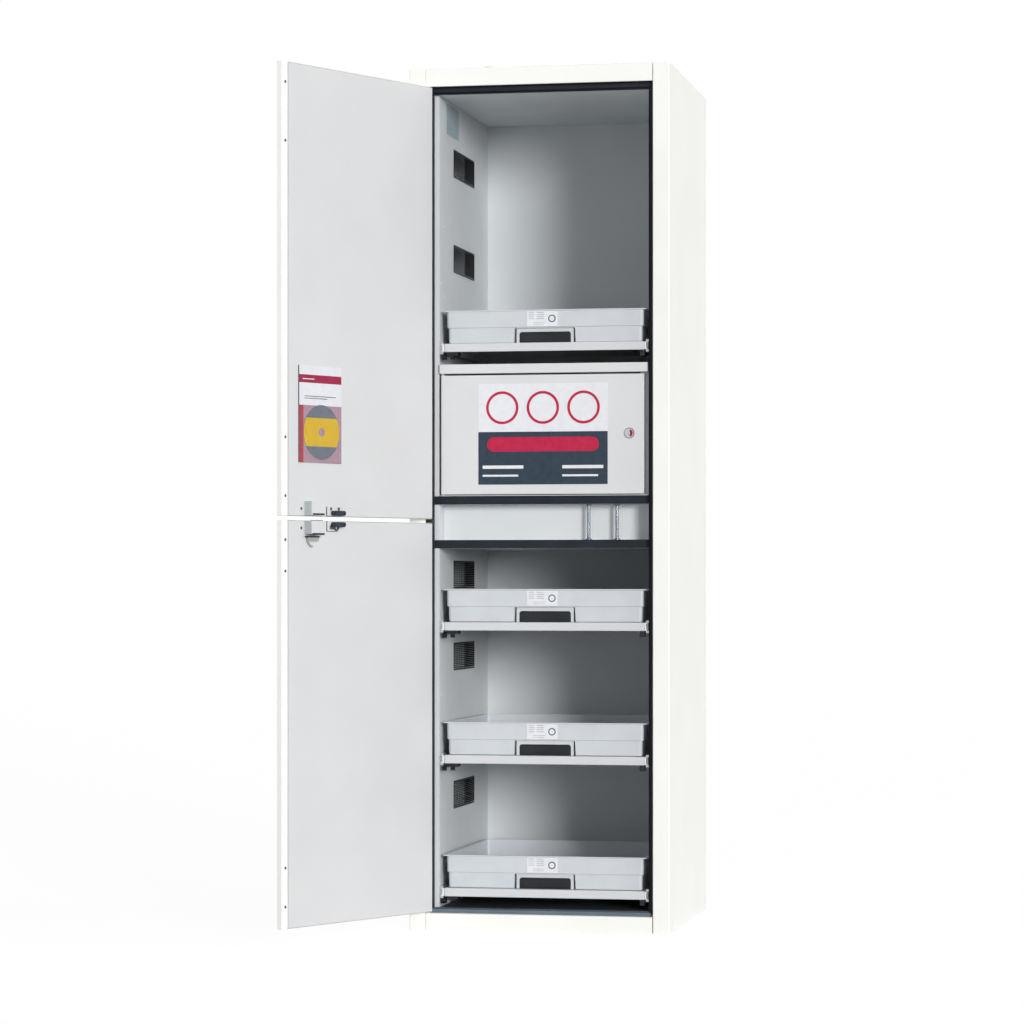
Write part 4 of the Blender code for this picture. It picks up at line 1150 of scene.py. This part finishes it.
def inner_box():
    """The inner steel box, its door with folded edges, the sign plate and the lock."""
    low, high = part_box("inner_box")
    door_low, door_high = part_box("inner_box_door")
    wall = sheet
    flange = 0.010
    lip_height = 0.0215
    lip_depth = 0.019
    start = low.y + lip_depth
    beyond_door = 0.0088
    low = Vector((low.x - 0.0045, low.y, low.z))
    high = Vector((high.x + beyond_door, high.y, high.z))
    shape = block(new_shape(), (low.x, start, low.z), high, 0.001, 2)
    lip = block(
        new_shape(), (low.x, low.y, high.z - lip_height), (high.x, start + wall, high.z), 0.0015, 3
    )
    sill = block(new_shape(), low, (high.x, start + wall, low.z + wall), 0.0005, 1)
    shape = combine(combine(shape, lip, "UNION"), sill, "UNION")
    hollow = block(
        new_shape(), (low.x + wall, start + wall, low.z + wall),
        (high.x - wall, high.y - wall, high.z - wall), 0.001, 1,
    )
    shape = combine(shape, hollow)
    mouth = block(
        new_shape(), (low.x + flange, start - wall, low.z + wall),
        (high.x - beyond_door - flange, start + 3 * wall, high.z - lip_height),
    )
    shape = combine(shape, mouth)
    piece("inner_box_folded", shape, box_coat, root, ["inner_box"])

    bottom, top = low.z + 0.0035, high.z - lip_height - 0.004
    hinge = joints["inner_door_hinge"]["pos_m"]
    lock_at = joints["inner_lock_turn"]["pos_m"]
    rim, skin_depth = 0.012, 0.0012
    pan = block(
        new_shape(), (door_low.x, door_low.y, bottom), (door_high.x, door_high.y, top), 0.0018, 3
    )
    recess = block(
        new_shape(), (door_low.x + rim, door_low.y + skin_depth, bottom + rim),
        (door_high.x - rim, door_high.y + wall, top - rim),
    )
    pan = combine(pan, recess)
    bore = 0.0093
    hole = lathe(
        new_shape(), [(bore, door_low.y - wall), (bore, door_high.y)],
        (lock_at[0], 0, lock_at[2]), "Y", 48,
    )
    pan = combine(pan, hole)
    pin(pan, hinge, low.z, bottom + rim / 2, 20)
    pin(pan, hinge, top - rim / 2, high.z - lip_height + pin_reach, 20)
    piece("inner_door_pan", pan, box_coat, "inner_door", ["inner_box_door"])

    face = door_low.y
    layer = print_layer
    worn = 0.0001
    plate_left, plate_right, plate_low, plate_high = -0.143, 0.156, 1.016, 1.246
    split = 1.136
    plate = block(
        new_shape(), (plate_left, face - layer * 2, plate_low),
        (plate_right, face - hair / 2, plate_high), worn, 1,
    )
    piece("sign_plate_white", plate, paper_white, "inner_door")
    lower = block(
        new_shape(), (plate_left, face - layer * 3, plate_low),
        (plate_right, face - layer * 2, split), worn, 1,
    )
    piece("sign_plate_slate", lower, slate, "inner_door")

    marks = new_shape()
    middle = (plate_left + plate_right) / 2
    ring_radius, ring_line, ring_gap = 0.0375, 0.006, 0.094
    for step in (-1, 0, 1):
        flat_ring(
            marks, (middle + step * ring_gap, (split + plate_high) / 2), ring_radius - ring_line,
            ring_radius, face - layer * 2, face - layer * 3, 64,
        )
    bar = flat_loop((plate_left + 0.020, split - 0.045), (plate_right - 0.020, split - 0.012), 0.0165)
    prism(marks, bar, "Y", face - layer * 3, face - layer * 4)
    piece("sign_plate_crimson_shapes", marks, crimson, "inner_door")

    rules = new_shape()
    from_edge, from_middle, top_rule, row_pitch = 0.010, 0.045, 0.036, 0.018
    for left, right in (
        (plate_left + from_edge, middle - from_middle),
        (middle + from_middle, plate_right - from_edge),
    ):
        for row, size in enumerate((0.0075, 0.0045)):
            height = plate_low + top_rule - row * row_pitch
            block(
                rules, (left, face - layer * 4, height),
                (right - 0.012 * row, face - layer * 3, height + size), worn, 1,
            )
    piece("sign_plate_writing_lines", rules, paper_white, "inner_door")

    lock_low, lock_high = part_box("inner_box_lock")
    radius = 0.011
    rosette = 0.0025
    outer_face = lock_low.y
    profile = [
        (0, lock_high.y - 0.004), (0.0085, lock_high.y - 0.004), (0.0085, outer_face + rosette),
        (radius, outer_face + rosette), (radius, outer_face + 0.001), (radius - 0.001, outer_face),
        (0.0072, outer_face), (0.0068, outer_face + 0.0006), (0, outer_face + 0.0006),
    ]
    body_shape = lathe(new_shape(), profile, (lock_at[0], 0, lock_at[2]), "Y", 40)
    key_slot = block(
        new_shape(), (lock_at[0] - 0.0007, outer_face - 0.001, lock_at[2] - 0.0042),
        (lock_at[0] + 0.0007, outer_face + 0.004, lock_at[2] + 0.0042),
    )
    body_shape = combine(body_shape, key_slot)
    tongue = block(
        new_shape(), (lock_at[0] - 0.006, lock_high.y - 0.003, lock_low.z),
        (lock_at[0] + 0.006, lock_high.y, lock_at[2] + 0.006), 0.0008, 2,
    )
    body_shape = combine(body_shape, tongue, "UNION")
    piece("inner_lock_turned", body_shape, chrome, "inner_lock", ["inner_box_lock"])
    arc_steps = 16
    sweep = [math.radians(-70 + 140 * step / arc_steps) for step in range(arc_steps + 1)]
    crescent = [
        (lock_at[0] + across * math.cos(angle), lock_at[2] + up * math.sin(angle))
        for across, up, angles in ((0.0086, 0.0086, sweep), (0.0026, 0.0052, sweep[::-1]))
        for angle in angles
    ]
    mark = prism(new_shape(), crescent, "Y", outer_face + 0.0007, outer_face - hair)
    piece("inner_lock_red_mark", mark, signal_red, "inner_lock")
    seat = flat_ring(
        new_shape(), (lock_at[0], lock_at[2]), radius + 0.0002, radius + 0.0013, face - hair,
        face + hair, 40,
    )
    piece("inner_lock_seat_ring", seat, dark_steel, "inner_door")


tray_step = 0.006
tray_wall = 0.003
tray_lower = 0.0355
tray_corner = 0.0065


def tray_loops(centre, half_x, half_y, base):
    """The skin of a tray from its underside round the rim to its inner floor. Each row is
    (inset, height, corner, how far the rim's side lips reach out)."""
    step, wall, lower, corner = tray_step, tray_wall, tray_lower, tray_corner
    total, lip, reach = 0.0755, 0.0022, 0.0085
    rows = [
        (step + 0.0035, 0.0, corner - 0.002, 0), (step + 0.0008, 0.0012, corner, 0),
        (step, 0.005, corner, 0), (step - 0.0006, lower - 0.0015, corner, 0),
        (step - 0.0012, lower - 0.0002, corner, 0), (lip + 0.0012, lower, corner, 0),
        (lip + 0.0004, lower + 0.0008, corner, 0), (lip, total - 0.0036, corner, 0),
        (0.0004, total - 0.0030, corner, reach), (0.0, total - 0.0026, corner, reach),
        (0.0, total - 0.0006, corner, reach), (0.0006, total, corner, reach),
        (wall - 0.0006, total, corner - 0.001, 0), (wall, total - 0.0008, corner - 0.001, 0),
        (wall + 0.0006, lower + wall + 0.001, corner - 0.001, 0),
        (wall + 0.0014, lower + wall, corner - 0.001, 0),
        (step + wall - 0.001, lower + wall - 0.0004, corner - 0.002, 0),
        (step + wall, lower + wall - 0.0016, corner - 0.002, 0),
        (step + wall + 0.0006, wall + 0.006, corner - 0.002, 0),
        (step + wall + 0.003, wall + 0.0012, corner - 0.003, 0),
        (step + wall + 0.008, wall, corner - 0.004, 0),
    ]
    return [
        rounded_rectangle(centre, half_x - inset + out, half_y - inset, radius, base + height)
        for inset, height, radius, out in rows
    ]


def tray(number):
    """A moulded spill tray with its grip recess, the black grip and the paper label."""
    body = f"pull_out_{number}"
    low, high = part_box(f"{body}_tray")
    grip_low, grip_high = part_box(f"{body}_grip")
    centre = ((low.x + high.x) / 2, (low.y + high.y) / 2)
    half_x, half_y = (high.x - low.x) / 2, (high.y - low.y) / 2
    shape = loft(new_shape(), tray_loops(centre, half_x, half_y, low.z))
    wall, lower = tray_wall, tray_lower
    recess_half, recess_depth = 0.0710, 0.022
    front_face = low.y + tray_step
    pocket_wall = block(
        new_shape(),
        (centre[0] - recess_half - wall, front_face + wall / 2, low.z + wall / 2),
        (centre[0] + recess_half + wall, front_face + recess_depth + wall, low.z + lower + wall / 2),
        0.001, 2,
    )
    shape = combine(shape, pocket_wall, "UNION")
    splay = 0.002
    outline = [
        (centre[0] - recess_half - splay / 2, low.z - wall),
        (centre[0] + recess_half + splay / 2, low.z - wall),
        (centre[0] + recess_half - splay / 2, low.z + lower - wall * 0.6),
        (centre[0] - recess_half + splay / 2, low.z + lower - wall * 0.6),
    ]
    recess = prism(new_shape(), outline, "Y", front_face - 2 * wall, front_face + recess_depth)
    shape = combine(shape, recess)
    piece(f"tray_{number}_moulded", shape, tray_plastic, body, [f"{body}_tray"])

    surround = new_shape()
    bezel_out, bezel_in, bezel_top = 0.0660, 0.0597, lower - wall * 0.6 - fit
    bezel_front = grip_low.y - 0.0012
    points_out = flat_loop(
        (centre[0] - bezel_out, low.z - 0.02), (centre[0] + bezel_out, low.z + bezel_top), 0.0016
    )
    points_in = flat_loop(
        (centre[0] - bezel_in, low.z - 0.02 + 0.002),
        (centre[0] + bezel_in, grip_high.z + 0.0008), 0.006,
    )
    floor_z = low.z + hair

    def clipped(points, y):
        return [(x, y, max(z, floor_z)) for x, z in points]

    loops = [
        clipped(points_out, front_face + recess_depth - fit), clipped(points_out, bezel_front + 0.001),
        clipped(points_out, bezel_front), clipped(points_in, bezel_front),
        clipped(points_in, front_face + recess_depth - fit),
    ]
    loft(surround, loops + loops[:1], cap_ends=False)
    bmesh.ops.remove_doubles(surround, verts=surround.verts, dist=hair / 10)
    bmesh.ops.dissolve_degenerate(surround, edges=surround.edges, dist=hair / 10)
    bmesh.ops.recalc_face_normals(surround, faces=surround.faces)
    piece(f"tray_{number}_grip_surround", surround, tray_plastic, body)

    outline = flat_loop((grip_low.x, grip_low.z - 0.012), (grip_high.x, grip_high.z), 0.0055, 8)
    outline = [(x, max(z, grip_low.z)) for x, z in outline]
    outline = list(dict.fromkeys(outline))
    grip = prism(new_shape(), outline, "Y", grip_low.y, grip_high.y)
    soften(grip, 0.0011)
    scoop_radius = 0.62
    sag = 0.0022
    scoop = lathe(
        new_shape(), [(scoop_radius, grip_low.z + 0.003), (scoop_radius, grip_high.z - 0.003)],
        (centre[0], grip_low.y + sag - scoop_radius, 0), steps=360,
    )
    grip = combine(grip, scoop)
    finger = block(
        new_shape(), (grip_low.x + 0.006, grip_low.y + 0.0045, grip_low.z + 0.003),
        (grip_high.x - 0.006, grip_high.y - 0.003, grip_high.z + 0.004), 0.002, 2,
    )
    grip = combine(grip, finger)
    piece(f"tray_{number}_finger_grip", grip, black_abs, body, [f"{body}_grip"])

    label_half = 0.0353
    label_x = centre[0] - 0.005
    label_low, label_high = low.z + lower + 0.0018, high.z - 0.0036
    front_band = low.y + 0.0022
    layer = print_layer
    label = block(
        new_shape(), (label_x - label_half, front_band - layer * 2, label_low),
        (label_x + label_half, front_band, label_high), 0.0001, 1,
    )
    piece(f"tray_{number}_paper_label", label, paper_white, body)
    rules = new_shape()
    line = 0.0013
    for row in range(4):
        height = label_low + 0.0165 + row * 0.0046
        for first, reach in ((-0.0315, 0.0135), (-0.013, 0.018)):
            block(
                rules, (label_x + first, front_band - layer * 3, height),
                (label_x + first + reach - 0.002 * (row % 2), front_band - layer * 2, height + line),
            )
    for row in range(2):
        height = label_low + 0.0040 + row * 0.0042
        block(
            rules, (label_x - 0.022, front_band - layer * 3, height),
            (label_x + 0.004 + 0.004 * row, front_band - layer * 2, height + line * 0.7),
        )
    piece(f"tray_{number}_label_rules", rules, ink_grey, body)
    mark = flat_ring(
        new_shape(), (label_x + 0.0225, (label_low + label_high) / 2), 0.0062, 0.0085,
        front_band - layer * 2, front_band - layer * 3, 40,
    )
    piece(f"tray_{number}_label_ring", mark, ink_dark, body)


def shelf(number):
    """The steel shelf under a tray, with folded lips, and the slide bars and runners."""
    body = f"pull_out_{number}"
    low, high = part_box(f"{body}_shelf")
    bar_width = 0.009
    pan_low = Vector((low.x + bar_width, low.y, low.z))
    pan_high = Vector((high.x - bar_width, high.y, high.z))
    shape = block(new_shape(), pan_low, pan_high, 0.0016, 3)
    under = block(
        new_shape(), (pan_low.x + sheet, pan_low.y + sheet, pan_low.z - 0.004),
        (pan_high.x - sheet, pan_high.y - sheet, pan_high.z - sheet),
    )
    shape = combine(shape, under)
    piece(f"shelf_{number}_folded", shape, shelf_coat, body, [f"{body}_shelf"])

    centre = (low.z + high.z) / 2
    bars = new_shape()
    clips = new_shape()
    wheels = new_shape()
    back_run = low.y + shelf_run - sheet
    for side, edge in ((-1, pan_low.x), (1, pan_high.x)):
        reach = 0.0088
        ends = sorted((edge + side * bar_width, edge - side * sheet * 0.4))
        block(
            bars, (ends[0], runner_front, centre - reach),
            (ends[1], back_run, centre + reach), 0.0006, 2,
        )
        clip = sorted((edge + side * 0.0002, edge + side * 0.0085))
        block(
            clips, (clip[0], pan_low.y + 0.0006, centre - 0.0088),
            (clip[1], runner_front - hair, centre + 0.0088), 0.0007, 2,
        )
    piece(f"shelf_{number}_slide_bars", bars, zinc, body)
    piece(f"shelf_{number}_end_clips", clips, bracket_plastic, body)
    # Thin black strips at the end clips are painted shade of the narrow gaps beside them.
    slots = new_shape()
    for x in (pan_low.x - 0.0068, pan_low.x + 0.0004, pan_high.x + 0.0046):
        block(
            slots, (x, pan_low.y + 0.0002, centre - 0.0062),
            (x + 0.0014, pan_low.y + 0.003, centre + 0.0074), hair, 1,
        )
    piece(f"shelf_{number}_clip_gap_shade", slots, black_abs, body)

    wheel_y = pan_low.y + 0.012
    wheel_z = low.z - 0.0102
    for offset, radius in ((-0.002, 0.0078), (0.017, 0.0068)):
        x = pan_low.x + offset
        lathe(
            wheels,
            [(0, x - 0.004), (radius, x - 0.004), (radius, x - 0.003), (radius * 0.8, x - 0.002),
             (radius * 0.8, x + 0.002), (radius, x + 0.003), (radius, x + 0.004), (0, x + 0.004)],
            (0, wheel_y, wheel_z), "X", 28,
        )
    block(
        wheels, (pan_low.x + 0.0035, pan_low.y + 0.006, low.z - 0.008),
        (pan_low.x + 0.030, pan_low.y + 0.040, low.z + 0.004), 0.0015, 2,
    )
    block(
        wheels, (pan_high.x - 0.012, pan_low.y + 0.006, low.z - 0.014),
        (pan_high.x - 0.001, pan_low.y + 0.036, low.z + 0.004), 0.0018, 2,
    )
    piece(f"shelf_{number}_dampers", wheels, black_abs, body)
    dress([f"{body}_middle_runner_left", f"{body}_middle_runner_right"], zinc)


def looking_ray(tree):
    """1 for the rays that look at the backdrop, and 0 for those that carry light."""
    ray = add_node(tree, "LightPath").outputs
    seen = ray["Is Camera Ray"]
    for kind in ("Is Glossy Ray", "Is Transmission Ray"):
        seen = add_node(tree, "Math", {0: seen, 1: ray[kind]}, operation="MAXIMUM").outputs[0]
    return seen


def stage():
    """A plain pale floor, and light that is plain and soft from both sides."""
    half = 15
    data = bpy.data.meshes.new("floor")
    data.from_pydata(
        [(-half, -half, 0), (half, -half, 0), (half, half, 0), (-half, half, 0)], [],
        [(0, 1, 2, 3)],
    )
    floor = bpy.data.objects.new("floor", data)
    bpy.context.scene.collection.objects.link(floor)
    floor.location.z = -0.0002
    material = bpy.data.materials.new("white_studio_floor")
    material.use_nodes = True
    tree = material.node_tree
    tree.nodes.clear()
    seen = looking_ray(tree)
    share = add_node(tree, "Math", {0: seen, 1: 0.78}, operation="MULTIPLY")
    diffuse = add_node(tree, "BsdfDiffuse", {"Color": colour("#D4D4D2")})
    glow = add_node(tree, "Emission", {"Color": (1, 1, 1, 1), "Strength": 1.18})
    mixed = add_node(
        tree, "MixShader",
        {0: share.outputs[0], 1: diffuse.outputs[0], 2: glow.outputs[0]},
    )
    add_node(tree, "OutputMaterial", {"Surface": mixed.outputs[0]})
    data.materials.append(material)

    world = bpy.data.worlds.new("white_studio")
    bpy.context.scene.world = world
    world.use_nodes = True
    tree = world.node_tree
    tree.nodes.clear()
    seen = looking_ray(tree)
    ambient = add_node(tree, "Background", {"Color": (1, 1, 1, 1), "Strength": 0.28})
    white = add_node(tree, "Background", {"Color": (1, 1, 1, 1), "Strength": 1.0})
    mixed = add_node(tree, "MixShader", {0: seen, 1: ambient.outputs[0], 2: white.outputs[0]})
    add_node(tree, "OutputWorld", {"Surface": mixed.outputs[0]})

    for name, turn, rise, spread, level in (
        ("key_light", 33, 8, 16, 0.72), ("side_light", 80, 24, 50, 0.24),
        ("left_light", -75, 10, 30, 0.24),
    ):
        data = bpy.data.lights.new(name, "SUN")
        data.energy = level * math.pi
        data.angle = math.radians(spread)
        lamp = bpy.data.objects.new(name, data)
        bpy.context.scene.collection.objects.link(lamp)
        lamp.rotation_euler = (math.radians(90 - rise), 0, math.radians(turn))


def camera():
    """The camera that was fitted to the photograph's edges, level and shifted upwards."""
    data = bpy.data.cameras.new("camera")
    data.sensor_width = sensor_width
    data.lens = focal_pixels / image_size * sensor_width
    data.shift_y = (horizon_pixel - image_size / 2) / image_size
    made = bpy.data.objects.new("camera", data)
    bpy.context.scene.collection.objects.link(made)
    made.location = camera_place
    made.rotation_euler = (math.pi / 2, 0, camera_yaw)
    bpy.context.scene.camera = made


# The whole cabinet, from its panels to its trays
for panel_side in (-1, 1):
    side_panel(panel_side)
    side_lining(panel_side)
roof()
plinth()
back()
spigot()
seal()
level_boards()
strike_rods()
for grille_number in range(1, 6):
    grille(grille_number)
wall_plate()
pivot_bearing()
for door in ("upper", "lower"):
    turned = door_turn(door)
    lowest, highest = door_shell(door, turned)
    door_handle(door, turned)
    latch(door, turned, lowest, highest)
document_pocket(door_turn("upper"))
inner_box()
for pull_out in range(1, 5):
    tray(pull_out)
    shelf(pull_out)
dress(["base_panel"], box_coat)
dress(["air_duct", "exhaust_plenum"], zinc)
stage()
camera()
bpy.context.scene.view_settings.view_transform = "Standard"
